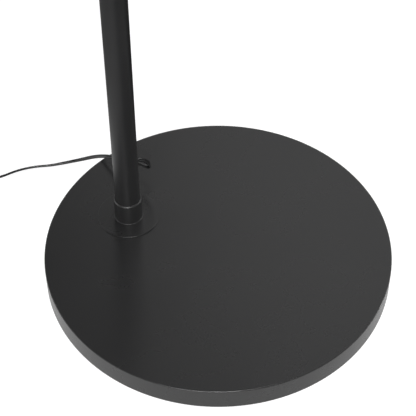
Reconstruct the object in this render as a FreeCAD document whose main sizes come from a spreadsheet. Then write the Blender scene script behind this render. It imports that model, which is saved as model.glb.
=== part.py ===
"""Gooseneck reading floor lamp: heavy round base, off-centre pole, gooseneck and a slim light head.

Millimetres. +Z is up, the origin is the centre of the base on the floor, and +X runs from the pole
across the base, which is the way the head reaches. At rest the neck is bent a quarter turn, so the
head lies level and shines down.
"""
import FreeCAD, Part
import math
import os
import re
import Sketcher
from FreeCAD import Placement, Rotation, Vector

os.makedirs("parts", exist_ok=True)
doc = FreeCAD.newDocument("ReadingLamp")

# Driving dimensions
SIZES = [
    ("base_diameter", 305, "outside of the base cover"),
    ("base_height", 22, "floor to the top of the cover"),
    ("cover_wall", 1.2, "steel of the cover"),
    ("cover_bevel", 1, "bevel of the cover's upper edge"),
    ("cover_lift", 1, "floor to the cover's lower edge"),
    ("ballast_gap", 0.4, "ballast to the inside of the cover"),
    ("pad_diameter", 286, "foam pad under the base"),
    ("pad_thickness", 2, "foam pad"),
    ("pole_offset", 88.9, "base centre to pole axis"),
    ("flange_diameter", 55, "thin plate of the pole's socket"),
    ("flange_thickness", 1, "thin plate"),
    ("collar_diameter", 25, "collar of the socket, round the pole"),
    ("collar_height", 22.5, "socket collar"),
    ("collar_chamfer", 0.6, "rim of the socket collar"),
    ("pole_diameter", 22, "steel tube"),
    ("pole_wall", 1.2, "steel tube"),
    ("pole_fit", 0.05, "pole to collar, radial"),
    ("sleeve_fit", 0.05, "plugs, sleeves and threads to what holds them, radial"),
    ("seam_chamfer", 0.3, "tube ends"),
    ("section_length", 375, "each of the three tubes"),
    ("foot_plug_length", 30, "threaded plug welded into the foot of the pole"),
    ("sleeve_length", 50, "sleeve fixed in each lower tube at a seam"),
    ("sleeve_wall", 2.6, "sleeve fixed in each lower tube at a seam"),
    ("bolt_diameter", 10, "base bolt"),
    ("bolt_clearance", 0.5, "holes round the base bolt, radial"),
    ("bolt_reach", 24, "thread of the bolt inside the foot plug"),
    ("bolt_head_flats", 16, "base bolt head across flats"),
    ("bolt_head_height", 6.4, "base bolt head"),
    ("recess_diameter", 30, "pocket for the bolt head"),
    ("recess_depth", 10, "pocket for the bolt head, above the pad"),
    ("exit_height", 74, "floor to the lead's way out of the pole"),
    ("bushing_diameter", 6, "bushing in the pole's wall"),
    ("bushing_tail", 1.2, "bushing inside the pole"),
    ("bushing_flange_diameter", 9, "bushing outside the pole"),
    ("bushing_flange_height", 1.2, "bushing outside the pole"),
    ("bushing_nose_diameter", 5.6, "tip of the bushing"),
    ("bushing_nose_length", 6, "pole to the tip of the bushing"),
    ("lead_width", 3.8, "flat twin lead"),
    ("lead_thickness", 2, "flat twin lead"),
    ("lead_clearance", 0.05, "bushing to lead, each side"),
    ("lead_bend", 7, "bend of the lead inside the pole"),
    ("top_plug_length", 22, "neck socket welded into the pole's top, inside the tube"),
    ("top_cone_height", 24, "neck socket above the tube"),
    ("top_cone_band", 3, "straight band under the cone of the neck socket"),
    ("top_mouth_diameter", 16, "upper end of the neck socket"),
    ("top_bore", 7, "way for the lead through the neck socket"),
    ("neck_diameter", 12.5, "ribs of the neck"),
    ("neck_groove_depth", 0.75, "groove between two ribs"),
    ("neck_flank", 0.9, "slope at each side of a groove, along the neck"),
    ("neck_bore", 4.5, "way for the lead through the neck"),
    ("neck_stub", 25, "fixed part of the neck at each end"),
    ("neck_spigot_diameter", 10, "foot of the neck inside its socket"),
    ("neck_spigot_length", 15, "foot of the neck inside its socket"),
    ("link_length", 51, "hinge to hinge"),
    ("hinge_gap", 2, "hinge to the ribs on either side"),
    ("knuckle_radius", 3.6, "round end of each link"),
    ("knuckle_width", 6, "round end of each link, along its axis"),
    ("knuckle_fit", 0.05, "round end to its seat, radial"),
    ("knuckle_side_gap", 0.3, "round end to its seat, each side"),
    ("knuckle_root", 2, "stem of the round end inside its own ribs"),
    ("ferrule_length", 18, "sleeve crimped on the neck at the head"),
    ("ferrule_diameter", 16, "sleeve crimped on the neck at the head"),
    ("tail_diameter", 8, "threaded tail of the sleeve"),
    ("tail_length", 11, "threaded tail of the sleeve"),
    ("head_length", 230, "light head along the neck"),
    ("head_width", 62, "light head across the neck"),
    ("head_height", 18, "light head"),
    ("head_wall", 1.8, "housing of the light head"),
    ("head_rear", 14, "solid rear end of the housing"),
    ("head_corner", 12, "rounded corners of the housing, seen from above"),
    ("head_edge", 1.2, "bevelled upper edge of the housing"),
    ("diffuser_recess", 1, "rim of the housing below the diffuser"),
    ("diffuser_thickness", 2, "opal tray, floor"),
    ("diffuser_wall", 1.2, "opal tray, walls"),
    ("diffuser_gap", 0.3, "opal tray to the housing"),
    ("spreader_start", 56, "rear of the head to the heat spreader"),
    ("spreader_end_gap", 14, "heat spreader to the front of the head"),
    ("spreader_width", 50, "heat spreader"),
    ("spreader_thickness", 2, "heat spreader"),
    ("board_margin", 3, "edge of the heat spreader round the light board"),
    ("board_thickness", 1.2, "light board"),
    ("chip_size", 3.5, "light chips"),
    ("chip_height", 0.8, "light chips"),
    ("chip_margin", 8, "end of the light board to the outer chips"),
    ("chip_row_spacing", 22, "between the two rows of chips"),
    ("driver_start", 17, "rear of the head to the driver"),
    ("driver_length", 20, "driver"),
    ("driver_width", 40, "driver"),
    ("driver_height", 8, "driver"),
    ("button_diameter", 10, "push button"),
    ("button_proud", 1.2, "push button above the housing"),
    ("button_fit", 0.08, "push button to its hole, radial"),
    ("button_offset", 46, "rear of the head to the middle of the push button"),
    ("button_travel", 0.8, "stroke of the push button"),
    ("button_rest", 0.2, "lower face of the wide part above the inside of the housing"),
    ("button_stem_diameter", 4, "push button inside the switch"),
    ("button_stem_length", 2.5, "push button inside the switch"),
    ("switch_size", 13, "switch under the push button, square"),
    ("switch_height", 7, "switch under the push button"),
    ("switch_gap", 0.3, "switch to the button, round it and at the end of its stroke"),
    ("adapter_length", 62, "plug-in power supply"),
    ("adapter_width", 38, "plug-in power supply"),
    ("adapter_height", 26, "plug-in power supply"),
    ("adapter_round", 3, "plug-in power supply"),
    ("blade_length", 17, "plug blades"),
    ("blade_width", 6.4, "plug blades"),
    ("blade_thickness", 1.5, "plug blades"),
    ("blade_spacing", 12.7, "plug blades"),
    ("relief_length", 30, "strain relief of the power supply"),
    ("relief_root_width", 9, "strain relief at the power supply"),
    ("relief_root_rise", 6, "strain relief at the power supply, above the middle of the lead"),
    ("relief_rim", 1.2, "strain relief beside and above the lead at its tip"),
    ("coil_diameter", 45.6, "put-away lead, middle of its turns"),
    ("coil_gap", 0.45, "least gap between neighbouring turns"),
]
NECK_BEND = 90
NECK_LINKS = 8
NECK_RIBS = 4
NECK_SIDES = 10
KNUCKLE_SIDES = 12
BORE_SIDES = 8
CHIPS_IN_ROW = 14
COIL_TURNS = 8.25
SIDEWAYS_HINGES = (1, 4, 7)

sheet = doc.addObject("Spreadsheet::Sheet", "Sizes")
for row, (alias, number, meaning) in enumerate(SIZES, start=1):
    sheet.set(f"A{row}", meaning)
    sheet.set(f"B{row}", str(number))
    sheet.setAlias(f"B{row}", alias)
doc.recompute()
ALIASES = {alias for alias, number, meaning in SIZES}


def size(formula):
    """The number that a formula of sheet names gives."""
    return float(sheet.evalExpression(formula))


def bound(formula):
    """The same formula as an expression for a property outside the sheet."""
    return re.sub(r"[a-z_]+", lambda word: ("Sizes." if word.group() in ALIASES else "") + word.group(), formula)


# Heights and radii that several pieces share
BASE_RADIUS = "base_diameter / 2"
FOOT = "(base_height + flange_thickness)"
SEAM_LOW = f"({FOOT} + section_length)"
SEAM_HIGH = f"({FOOT} + 2 * section_length)"
POLE_TOP = f"({FOOT} + 3 * section_length)"
NECK_START = f"({POLE_TOP} + top_cone_height)"
POLE_RADIUS = "(pole_diameter / 2)"
POLE_BORE = "(pole_diameter / 2 - pole_wall)"
SLEEVE_RADIUS = f"({POLE_BORE} - sleeve_fit)"
SLEEVE_BORE = f"({SLEEVE_RADIUS} - sleeve_wall)"
BOLT_HOLE = "(bolt_diameter / 2 + bolt_clearance)"
RECESS_TOP = "(pad_thickness + recess_depth)"

# The neck at rest is an even fan of straight links
KINK = math.radians(NECK_BEND / (NECK_LINKS + 1))
REACH = sum(math.sin(KINK * step) for step in range(1, NECK_LINKS + 1))
RISE = sum(math.cos(KINK * step) for step in range(1, NECK_LINKS + 1))

# Light head, from the middle of its rear face: along +X, with its inner heights from the middle
HEAD_X = f"({REACH:.9f} * link_length - pole_offset + neck_stub + ferrule_length)"
HEAD_Z = f"({NECK_START} + neck_stub + {RISE:.9f} * link_length)"
CEILING = "(head_height / 2 - head_wall)"
SPREADER_UNDER = f"({CEILING} - spreader_thickness)"
BOARD_UNDER = f"({SPREADER_UNDER} - board_thickness)"
TRAY_UNDER = "(diffuser_recess - head_height / 2)"


def place(piece, x="0", z="0", turn=None):
    """Put a piece at a formula's place on the lamp's middle plane, turned by a rotation."""
    if turn is not None:
        piece.Placement = Placement(Vector(), turn)
    piece.setExpression("Placement.Base.x", bound(x))
    piece.setExpression("Placement.Base.z", bound(z))


def on_base(piece):
    place(piece)


def on_pole(piece):
    place(piece, x="-pole_offset")


def on_head(piece, x="0", z="0", turn=None):
    """Put a piece in the light head, which lies level at the end of the bent neck."""
    place(piece, x=f"{HEAD_X} + {x}", z=f"{HEAD_Z} + {z}", turn=turn)


def origin_part(body, role):
    """A plane or axis of the body's own origin."""
    return [feature for feature in body.Origin.OriginFeatures if feature.Role == role][0]


def new_sketch(body, role, name, lift=None):
    """A sketch on a plane of the body's own origin, lifted from it by a formula."""
    sketch = body.newObject("Sketcher::SketchObject", name)
    sketch.AttachmentSupport = (origin_part(body, role), "")
    sketch.MapMode = "FlatFace"
    if lift is not None:
        sketch.setExpression("AttachmentOffset.Base.z", bound(lift))
    return sketch


def hold(sketch, kind, geometry, point, formula, name):
    """Dimension one point of a sketch from the sketch's origin."""
    number = size(formula)
    if formula == "0":
        axis = -2 if kind == "DistanceX" else -1
        sketch.addConstraint(Sketcher.Constraint("PointOnObject", geometry, point, axis))
        return
    index = sketch.addConstraint(Sketcher.Constraint(kind, -1, 1, geometry, point, number))
    sketch.renameConstraint(index, name)
    sketch.setExpression(f"Constraints.{name}", bound(formula))


def draw_outline(sketch, corners):
    """A closed outline of straight lines through corners given as pairs of formulas."""
    spots = [Vector(size(across), size(up), 0) for across, up in corners]
    for index, spot in enumerate(spots):
        sketch.addGeometry(Part.LineSegment(spot, spots[(index + 1) % len(spots)]), False)
    for index in range(len(spots)):
        sketch.addConstraint(Sketcher.Constraint("Coincident", index, 2, (index + 1) % len(spots), 1))
    for index, (across, up) in enumerate(corners):
        hold(sketch, "DistanceX", index, 1, across, f"across_{index}")
        hold(sketch, "DistanceY", index, 1, up, f"up_{index}")


def draw_rectangle(sketch, near, far, half):
    """A rectangle from one distance to another, as wide on both sides."""
    draw_outline(sketch, [(near, f"-({half})"), (far, f"-({half})"), (far, half), (near, half)])


def draw_rounded_rectangle(sketch, near, far, half, corner):
    """A rectangle with rounded corners: four sides and four arcs that touch them."""
    x0 = size(near)
    x1 = size(far)
    y1 = size(half)
    r = size(corner)
    quarter = math.pi / 2
    for index, (x, y) in enumerate(((x1 - r, r - y1), (x1 - r, y1 - r), (x0 + r, y1 - r), (x0 + r, r - y1))):
        circle = Part.Circle(Vector(x, y, 0), Vector(0, 0, 1), r)
        sketch.addGeometry(Part.ArcOfCircle(circle, (index - 1) * quarter, index * quarter), False)
    for index in range(4):
        start = sketch.Geometry[index].EndPoint
        end = sketch.Geometry[(index + 1) % 4].StartPoint
        sketch.addGeometry(Part.LineSegment(start, end), False)
    for index in range(4):
        sketch.addConstraint(Sketcher.Constraint("Tangent", index, 2, 4 + index, 1))
        sketch.addConstraint(Sketcher.Constraint("Tangent", 4 + index, 2, (index + 1) % 4, 1))
        name = f"corner_{index}"
        radius = sketch.addConstraint(Sketcher.Constraint("Radius", index, r))
        sketch.renameConstraint(radius, name)
        sketch.setExpression(f"Constraints.{name}", bound(corner))
    hold(sketch, "DistanceX", 4, 1, far, "far")
    hold(sketch, "DistanceX", 6, 1, near, "near")
    hold(sketch, "DistanceY", 5, 1, half, "left")
    hold(sketch, "DistanceY", 7, 1, f"-({half})", "right")
    sketch.addConstraint(Sketcher.Constraint("Vertical", 4))


def draw_circle(sketch, across, up, radius):
    """A circle whose centre and radius are formulas."""
    centre = Vector(size(across), size(up), 0)
    index = sketch.addGeometry(Part.Circle(centre, Vector(0, 0, 1), size(radius)), False)
    hold(sketch, "DistanceX", index, 3, across, f"centre_across_{index}")
    hold(sketch, "DistanceY", index, 3, up, f"centre_up_{index}")
    round_one = sketch.addConstraint(Sketcher.Constraint("Radius", index, size(radius)))
    sketch.renameConstraint(round_one, f"radius_{index}")
    sketch.setExpression(f"Constraints.radius_{index}", bound(radius))


def turned(label, corners, seat):
    """A body turned from an outline of (radius, height) formulas."""
    body = doc.addObject("PartDesign::Body", label)
    sketch = new_sketch(body, "XZ_Plane", label + "_outline")
    draw_outline(sketch, corners)
    turn = body.newObject("PartDesign::Revolution", label + "_turn")
    turn.Profile = sketch
    turn.ReferenceAxis = (origin_part(body, "Z_Axis"), [""])
    turn.Angle = 360
    body.Tip = turn
    seat(body)
    doc.recompute()
    return body


def pocket(body, sketch, name, depth, along_normal):
    """Cut a sketch into the body by a depth and see that it took material away."""
    before = body.Tip.Shape.Volume
    cut = body.newObject("PartDesign::Pocket", name)
    cut.Profile = sketch
    cut.Reversed = along_normal
    cut.setExpression("Length", bound(depth))
    body.Tip = cut
    doc.recompute()
    assert cut.Shape.Volume < before - 0.01, name


def drilled(body, name, across, radius, low, high):
    """A round hole between two heights."""
    sketch = new_sketch(body, "XY_Plane", name + "_circle", low)
    draw_circle(sketch, across, "0", radius)
    pocket(body, sketch, name, f"{high} - ({low})", True)


def rounded(body, name, radius, chosen):
    """Round the edges of the body that a test picks."""
    base = body.Tip
    fillet = body.newObject("PartDesign::Fillet", name)
    fillet.Base = (base, picked(base, chosen))
    fillet.setExpression("Radius", bound(radius))
    body.Tip = fillet
    doc.recompute()


def bevelled(body, name, width, chosen):
    """Chamfer the edges of the body that a test picks."""
    base = body.Tip
    chamfer = body.newObject("PartDesign::Chamfer", name)
    chamfer.Base = (base, picked(base, chosen))
    chamfer.setExpression("Size", bound(width))
    body.Tip = chamfer
    doc.recompute()


def picked(feature, chosen):
    return [f"Edge{index}" for index, edge in enumerate(feature.Shape.Edges, start=1) if chosen(edge)]


def rim(radius, height):
    """A test for the round edge of that radius at that height of its body."""
    def matches(edge):
        curve = edge.Curve
        return (isinstance(curve, Part.Circle) and abs(curve.Radius - size(radius)) < 0.01
                and abs(edge.BoundBox.ZMin - size(height)) < 0.01 and abs(edge.BoundBox.ZMax - size(height)) < 0.01)
    return matches


def upright(edge):
    return edge.BoundBox.XLength < 0.01 and edge.BoundBox.YLength < 0.01


# Base

def make_base():
    """Steel cover over a ballast disc, on a foam pad."""
    cover = turned("base_cover", [
        ("0", "base_height"), ("0", "base_height - cover_wall"),
        (f"{BASE_RADIUS} - cover_wall", "base_height - cover_wall"),
        (f"{BASE_RADIUS} - cover_wall", "cover_lift"), (BASE_RADIUS, "cover_lift"),
        (BASE_RADIUS, "base_height")], on_base)
    bevelled(cover, "cover_edge", "cover_bevel", rim(BASE_RADIUS, "base_height"))
    drilled(cover, "cover_hole", "-pole_offset", BOLT_HOLE, "base_height - cover_wall", "base_height")

    inside = f"({BASE_RADIUS} - cover_wall - ballast_gap)"
    ballast = turned("base_ballast", [
        ("0", "pad_thickness"), (inside, "pad_thickness"),
        (inside, "base_height - cover_wall"), ("0", "base_height - cover_wall")], on_base)
    drilled(ballast, "ballast_recess", "-pole_offset", "recess_diameter / 2", "pad_thickness", RECESS_TOP)
    drilled(ballast, "ballast_hole", "-pole_offset", BOLT_HOLE, RECESS_TOP, "base_height - cover_wall")

    pad = turned("base_pad", [("0", "0"), ("pad_diameter / 2", "0"), ("pad_diameter / 2", "pad_thickness"),
                              ("0", "pad_thickness")], on_base)
    drilled(pad, "pad_hole", "-pole_offset", "recess_diameter / 2", "0", "pad_thickness")


def make_socket():
    """Plate with a welded collar that the pole stands in, and the bolt that pulls the pole down."""
    bore = f"({POLE_RADIUS} + pole_fit)"
    outside = "(collar_diameter / 2)"
    top = f"({FOOT} + collar_height)"
    turned("pole_socket", [
        (BOLT_HOLE, "base_height"), ("flange_diameter / 2", "base_height"), ("flange_diameter / 2", FOOT),
        (outside, FOOT), (outside, f"{top} - collar_chamfer"), (f"{outside} - collar_chamfer", top),
        (bore, top), (bore, FOOT), (BOLT_HOLE, FOOT)], on_pole)

    shank = doc.addObject("Part::Cylinder", "bolt_shank")
    shank.setExpression("Radius", bound("bolt_diameter / 2"))
    shank.setExpression("Height", bound(f"{FOOT} + bolt_reach - {RECESS_TOP}"))
    head = doc.addObject("Part::Prism", "bolt_head")
    head.Polygon = 6
    head.setExpression("Circumradius", bound("bolt_head_flats / sqrt(3)"))
    head.setExpression("Height", bound("bolt_head_height"))
    head.setExpression("Placement.Base.z", bound("-bolt_head_height"))
    bolt = doc.addObject("Part::Fuse", "base_bolt")
    bolt.Base = shank
    bolt.Tool = head
    place(bolt, x="-pole_offset", z=RECESS_TOP)


# Pole

def sleeve_end(seam):
    """Upper end of a tube with the sleeve fixed in it, from the outside over the top to the bore."""
    return [
        (POLE_RADIUS, f"{seam} - seam_chamfer"), (f"{POLE_RADIUS} - seam_chamfer", seam), (SLEEVE_RADIUS, seam),
        (SLEEVE_RADIUS, f"{seam} + sleeve_length / 2"), (SLEEVE_BORE, f"{seam} + sleeve_length / 2"),
        (SLEEVE_BORE, f"{seam} - sleeve_length / 2"), (POLE_BORE, f"{seam} - sleeve_length / 2")]


def open_end(seam):
    """Lower end of a tube, from the bore to the outside."""
    return [(POLE_BORE, seam), (f"{POLE_RADIUS} - seam_chamfer", seam), (POLE_RADIUS, f"{seam} + seam_chamfer")]


def make_pole():
    """Three tubes that fit on each other's sleeves: foot plug below, neck socket on top."""
    plug_top = f"({FOOT} + foot_plug_length)"
    thread = "(bolt_diameter / 2 + sleeve_fit)"
    thread_top = f"({FOOT} + bolt_reach + bolt_clearance)"
    lower = turned("pole_lower", [
        (thread, FOOT), (POLE_RADIUS, FOOT), *sleeve_end(SEAM_LOW), (POLE_BORE, plug_top), ("0", plug_top),
        ("0", thread_top), (thread, thread_top)], on_pole)
    hole = new_sketch(lower, "XZ_Plane", "lead_hole_circle")
    draw_circle(hole, "0", "exit_height", "bushing_diameter / 2")
    pocket(lower, hole, "lead_hole", POLE_RADIUS, False)

    turned("pole_middle", [*open_end(SEAM_LOW), *sleeve_end(SEAM_HIGH)], on_pole)

    spigot = "(neck_spigot_diameter / 2 + sleeve_fit)"
    spigot_end = f"({NECK_START} - neck_spigot_length)"
    plug_end = f"({POLE_TOP} - top_plug_length)"
    turned("pole_upper", [
        *open_end(SEAM_HIGH), (POLE_RADIUS, f"{POLE_TOP} + top_cone_band"),
        ("top_mouth_diameter / 2", NECK_START), (spigot, NECK_START), (spigot, spigot_end),
        ("top_bore / 2", spigot_end), ("top_bore / 2", plug_end), (POLE_BORE, plug_end)], on_pole)


def make_bushing():
    """Rubber bushing in the pole's wall, saddled to the tube, with a slot for the flat lead."""
    flange_top = f"({POLE_RADIUS} + bushing_flange_height)"
    nose = f"({POLE_RADIUS} + bushing_nose_length)"
    tail = f"({POLE_BORE} - bushing_tail)"
    blank = turned("bushing_blank", [
        ("0", tail), ("bushing_diameter / 2", tail), ("bushing_diameter / 2", POLE_BORE),
        ("bushing_flange_diameter / 2", POLE_BORE), ("bushing_flange_diameter / 2", flange_top),
        ("bushing_nose_diameter / 2", flange_top), ("bushing_nose_diameter / 2", nose), ("0", nose)],
        on_base)
    blank.Placement = Placement(Vector(), Rotation(Vector(1, 0, 0), -90))
    place(blank, x="-pole_offset", z="exit_height")
    slot = new_sketch(blank, "XY_Plane", "lead_slot_outline", tail)
    half_across = "(lead_thickness / 2 + lead_clearance)"
    half_up = "(lead_width / 2 + lead_clearance)"
    draw_outline(slot, [(f"-{half_across}", f"-{half_up}"), (half_across, f"-{half_up}"),
                        (half_across, half_up), (f"-{half_across}", half_up)])
    pocket(blank, slot, "lead_slot", f"{nose} - {tail}", True)
    bushing = doc.addObject("Part::Cut", "cord_bushing")
    bushing.Base = blank
    bushing.Tool = doc.getObject("pole_lower")
    doc.recompute()


# Lead

def bend(start, corner, end):
    """The arc that touches two runs at points the same way from their corner, and its radius."""
    back = start - corner
    on = end - corner
    turn = math.pi - back.getAngle(on)
    middle_way = (back + on).normalize()
    middle = corner + middle_way * (back.Length * math.tan(turn / 4))
    return Part.Arc(start, middle, end).toShape(), back.Length / math.tan(turn / 2)


def rounded_route(corners, share=0.45):
    """Straight runs through the corners, joined by arcs that take a share of the shorter run."""
    edges = []
    radii = []
    here = corners[0]
    for before, corner, after in zip(corners, corners[1:], corners[2:]):
        reach = share * min((corner - before).Length, (after - corner).Length)
        start = corner + (before - corner).normalize() * reach
        end = corner + (after - corner).normalize() * reach
        arc, radius = bend(start, corner, end)
        edges += [Part.LineSegment(here, start).toShape(), arc]
        radii.append(radius)
        here = end
    edges.append(Part.LineSegment(here, corners[-1]).toShape())
    return Part.Wire(edges), radii


def lead_section(centre, along):
    """Section of the flat twin lead, square to the route, its wide side upright."""
    side = Vector(0, 0, 1).cross(along).normalize()
    up = along.cross(side).normalize()
    half = size("lead_width / 2")
    thick = size("lead_thickness / 2")
    corners = [(thick, half), (thick, -half), (-thick, -half), (-thick, half)]
    points = [centre + side * across + up * rise for across, rise in corners]
    return Part.makePolygon(points + points[:1])


def swept(path, both_ends=False):
    """A pipe shell of the lead's section along a wire, with the wide side upright where it starts.

    A stretch that climbs takes its section at both ends, so that it meets the next one upright too.
    """
    sweep = Part.BRepOffsetAPI.MakePipeShell(path)
    edges = path.OrderedEdges
    sweep.add(lead_section(edges[0].valueAt(edges[0].FirstParameter), edges[0].tangentAt(edges[0].FirstParameter)))
    if both_ends:
        last = edges[-1]
        sweep.add(lead_section(last.valueAt(last.LastParameter), last.tangentAt(last.LastParameter)))
    sweep.build()
    sweep.makeSolid()
    return Part.Solid(sweep.shape())


def lead_piece(label, solid, length):
    """Add a piece of the lead and compare its volume with section times length."""
    expected = size("lead_width * lead_thickness") * length
    print(f"{label}: length {length:.1f}, volume {solid.Volume:.1f}, section times length {expected:.1f}")
    assert abs(solid.Volume / expected - 1) < 0.02, label
    doc.addObject("Part::Feature", label).Shape = solid


def lead_route():
    """Corners of the free lead: out of the bushing, a small loop, over the base's edge, along the floor."""
    exit_point = Vector(-size("pole_offset"), size(f"{POLE_RADIUS} + bushing_nose_length"), size("exit_height"))
    floor = size("lead_width / 2")
    return [
        exit_point,
        exit_point + Vector(0, 8, 0),
        Vector(-84.5, 31.5, 66.5),
        Vector(-80.5, 37.5, 54.5),
        Vector(-86.5, 42.5, 44),
        Vector(-98.5, 43, 42.5),
        Vector(-112, 43.5, 42.5),
        Vector(-127.5, 46.5, 38.5),
        Vector(-142.5, 51.5, 29.5),
        Vector(-157, 55.5, 17),
        Vector(-170.5, 54.5, 6.5),
        Vector(-184, 49.5, floor + 0.3),
        Vector(-195.5, 40.5, floor),
        Vector(-208.5, 32.5, floor),
        Vector(-220.5, 21.5, floor),
        Vector(-229.5, 8, floor),
        Vector(-238, -4, floor),
        Vector(-247.5, -14.5, floor),
    ]


def biarc(start, leave, end, arrive):
    """Two arcs that join two points in given directions."""
    chord = end - start
    both = leave + arrive
    a = both.dot(both) - 4
    b = -2 * chord.dot(both)
    c = chord.dot(chord)
    reach = c / -b if abs(a) < 1e-9 else (-b - math.sqrt(b * b - 4 * a * c)) / (2 * a)
    first_corner = start + leave * reach
    last_corner = end - arrive * reach
    joint = (first_corner + last_corner) * 0.5
    return [bend(start, first_corner, joint)[0], bend(joint, last_corner, end)[0]]


def coil_paths(start, along):
    """The put-away length: a layer that spirals in, a climb, and a layer that spirals out again.

    The climb takes a quarter turn at the reversal, where turns a quarter of a step nearer pass it, so
    the step is as much wider. Both ends run straight for one width.
    """
    width = size("lead_width")
    climb_turns = 0.25
    pitch = size("lead_thickness + coil_gap") / (1 - climb_turns)
    layer = size("lead_width + coil_gap")
    reversal = COIL_TURNS / 2
    outer = size("coil_diameter / 2") + pitch * reversal / 2
    begin = start + along * width
    across = Vector(along.y, -along.x, 0)
    centre = begin + across * outer
    heading = math.atan2(-across.y, -across.x)

    def spot(turns):
        """A point of the winding after a number of turns."""
        radius = outer - pitch * min(turns, COIL_TURNS - turns)
        rise = layer * min(max((turns - reversal) / climb_turns + 0.5, 0), 1)
        angle = heading - 2 * math.pi * turns
        return centre + Vector(radius * math.cos(angle), radius * math.sin(angle), rise)

    def way(turns):
        """The level direction of the winding after a number of turns."""
        if turns == 0:
            return along
        if turns == COIL_TURNS:
            angle = heading - 2 * math.pi * turns - math.pi / 2
            return Vector(math.cos(angle), math.sin(angle), 0)
        step = spot(turns + 0.001) - spot(turns - 0.001)
        return Vector(step.x, step.y, 0).normalize()

    arcs = []
    for quarter in range(round(COIL_TURNS * 4)):
        here = quarter / 4
        arcs += biarc(spot(here), way(here), spot(here + 0.25), way(here + 0.25))
    print_gap(arcs)
    climb = round((reversal - climb_turns / 2) * 4) * 2
    leave = way(COIL_TURNS)
    end = spot(COIL_TURNS) + leave * width
    lower = [Part.LineSegment(start, begin).toShape(), *arcs[:climb]]
    upper = [*arcs[climb + 2:], Part.LineSegment(spot(COIL_TURNS), end).toShape()]
    return [Part.Wire(lower), Part.Wire(arcs[climb:climb + 2]), Part.Wire(upper)], end, leave


def print_gap(edges):
    """Print the least gap between turns of the flat lead, measured on points of the winding."""
    points = [point for edge in edges for point in edge.discretize(9)[:-1]]
    thick = size("lead_thickness")
    width = size("lead_width")
    half_turn = 8 * 2 * 2
    least = size("coil_diameter")
    for index, here in enumerate(points):
        for there in points[index + half_turn:]:
            level = math.hypot(here.x - there.x, here.y - there.y)
            least = min(least, max(level - thick, abs(here.z - there.z) - width))
    print(f"least gap between turns {least:.3f}")


def make_lead():
    """Lead inside the pole, free lead, coil and the plug-in power supply."""
    route, radii = rounded_route(lead_route())
    print("radii of the free lead", " ".join(f"{radius:.1f}" for radius in radii))
    lead_piece("supply_lead", swept(route), route.Length)
    corners = lead_route()
    along = (corners[-1] - corners[-2]).normalize()
    paths, coil_end, leave = coil_paths(corners[-1], along)
    lower, climb, upper = (swept(path, index == 1) for index, path in enumerate(paths))
    coil = lower.fuse([climb, upper])
    lead_piece("supply_lead_coil", coil.Solids[0], sum(path.Length for path in paths))

    axis_x = -size("pole_offset")
    bend_radius = size("lead_bend")
    tip = Vector(axis_x, size(f"{POLE_RADIUS} + bushing_nose_length"), size("exit_height"))
    turn_start = Vector(axis_x, bend_radius, tip.z)
    turn_end = Vector(axis_x, 0, tip.z + bend_radius)
    top = Vector(axis_x, 0, size(NECK_START))
    arc = bend(turn_start, Vector(axis_x, 0, tip.z), turn_end)[0]
    inner = Part.Wire([Part.LineSegment(tip, turn_start).toShape(), arc, Part.LineSegment(turn_end, top).toShape()])
    lead_piece("pole_lead", swept(inner), inner.Length)
    make_adapter(coil_end, leave)


def make_adapter(entry, along):
    """Plug-in power supply at the end of the lead, lying on the floor beside the coil."""
    heading = math.degrees(math.atan2(along.y, along.x))
    stand = Placement(Vector(entry.x, entry.y, 0), Rotation(Vector(0, 0, 1), heading))
    body = doc.addObject("PartDesign::Body", "adapter_housing")
    outline = new_sketch(body, "XY_Plane", "adapter_outline")
    half = "adapter_width / 2"
    near = "relief_length"
    far = "relief_length + adapter_length"
    draw_outline(outline, [(near, f"-{half}"), (far, f"-{half}"), (far, half), (near, half)])
    block = body.newObject("PartDesign::Pad", "adapter_block")
    block.Profile = outline
    block.setExpression("Length", bound("adapter_height"))
    body.Tip = block
    doc.recompute()
    rounded(body, "adapter_edges", "adapter_round", upright)
    body.Placement = stand

    relief = doc.addObject("Part::Wedge", "adapter_relief")
    tip_width = "(lead_thickness / 2 + relief_rim)"
    underside = "-(lead_width / 2 + coil_gap / 2)"
    for name, formula in (
            ("Xmin", f"-{tip_width}"), ("Xmax", tip_width), ("X2min", "-relief_root_width / 2"),
            ("X2max", "relief_root_width / 2"), ("Ymin", "0"), ("Ymax", "relief_length"),
            ("Zmin", underside), ("Z2min", underside), ("Zmax", "lead_width / 2 + relief_rim"),
            ("Z2max", "relief_root_rise")):
        relief.setExpression(name, bound(formula))
    relief.Placement = stand * Placement(Vector(0, 0, entry.z), Rotation(Vector(0, 0, 1), -90))

    blades = []
    for side, name in ((-1, "blade_left"), (1, "blade_right")):
        blade = doc.addObject("Part::Box", name)
        blade.setExpression("Length", bound("blade_length"))
        blade.setExpression("Width", bound("blade_thickness"))
        blade.setExpression("Height", bound("blade_width"))
        corner = Vector(size(far), size(f"{side} * blade_spacing / 2 - blade_thickness / 2"),
                        size("adapter_height / 2 - blade_width / 2"))
        blade.Placement = stand * Placement(corner, Rotation())
        blades.append(blade)
    pair = doc.addObject("Part::Compound", "adapter_blades")
    pair.Links = blades


# Neck

def polygon(radius, height, sides):
    """A regular many-sided ring across the local Z axis, with its corners at a radius."""
    corners = []
    for side in range(sides + 1):
        angle = 2 * math.pi * (side % sides + 0.5) / sides
        corners.append(Vector(radius * math.cos(angle), radius * math.sin(angle), height))
    return Part.makePolygon(corners)


def prism(radius, low, high, sides):
    """A many-sided rod along the local Z axis."""
    return Part.Face(polygon(radius, low, sides)).extrude(Vector(0, 0, high - low))


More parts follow.
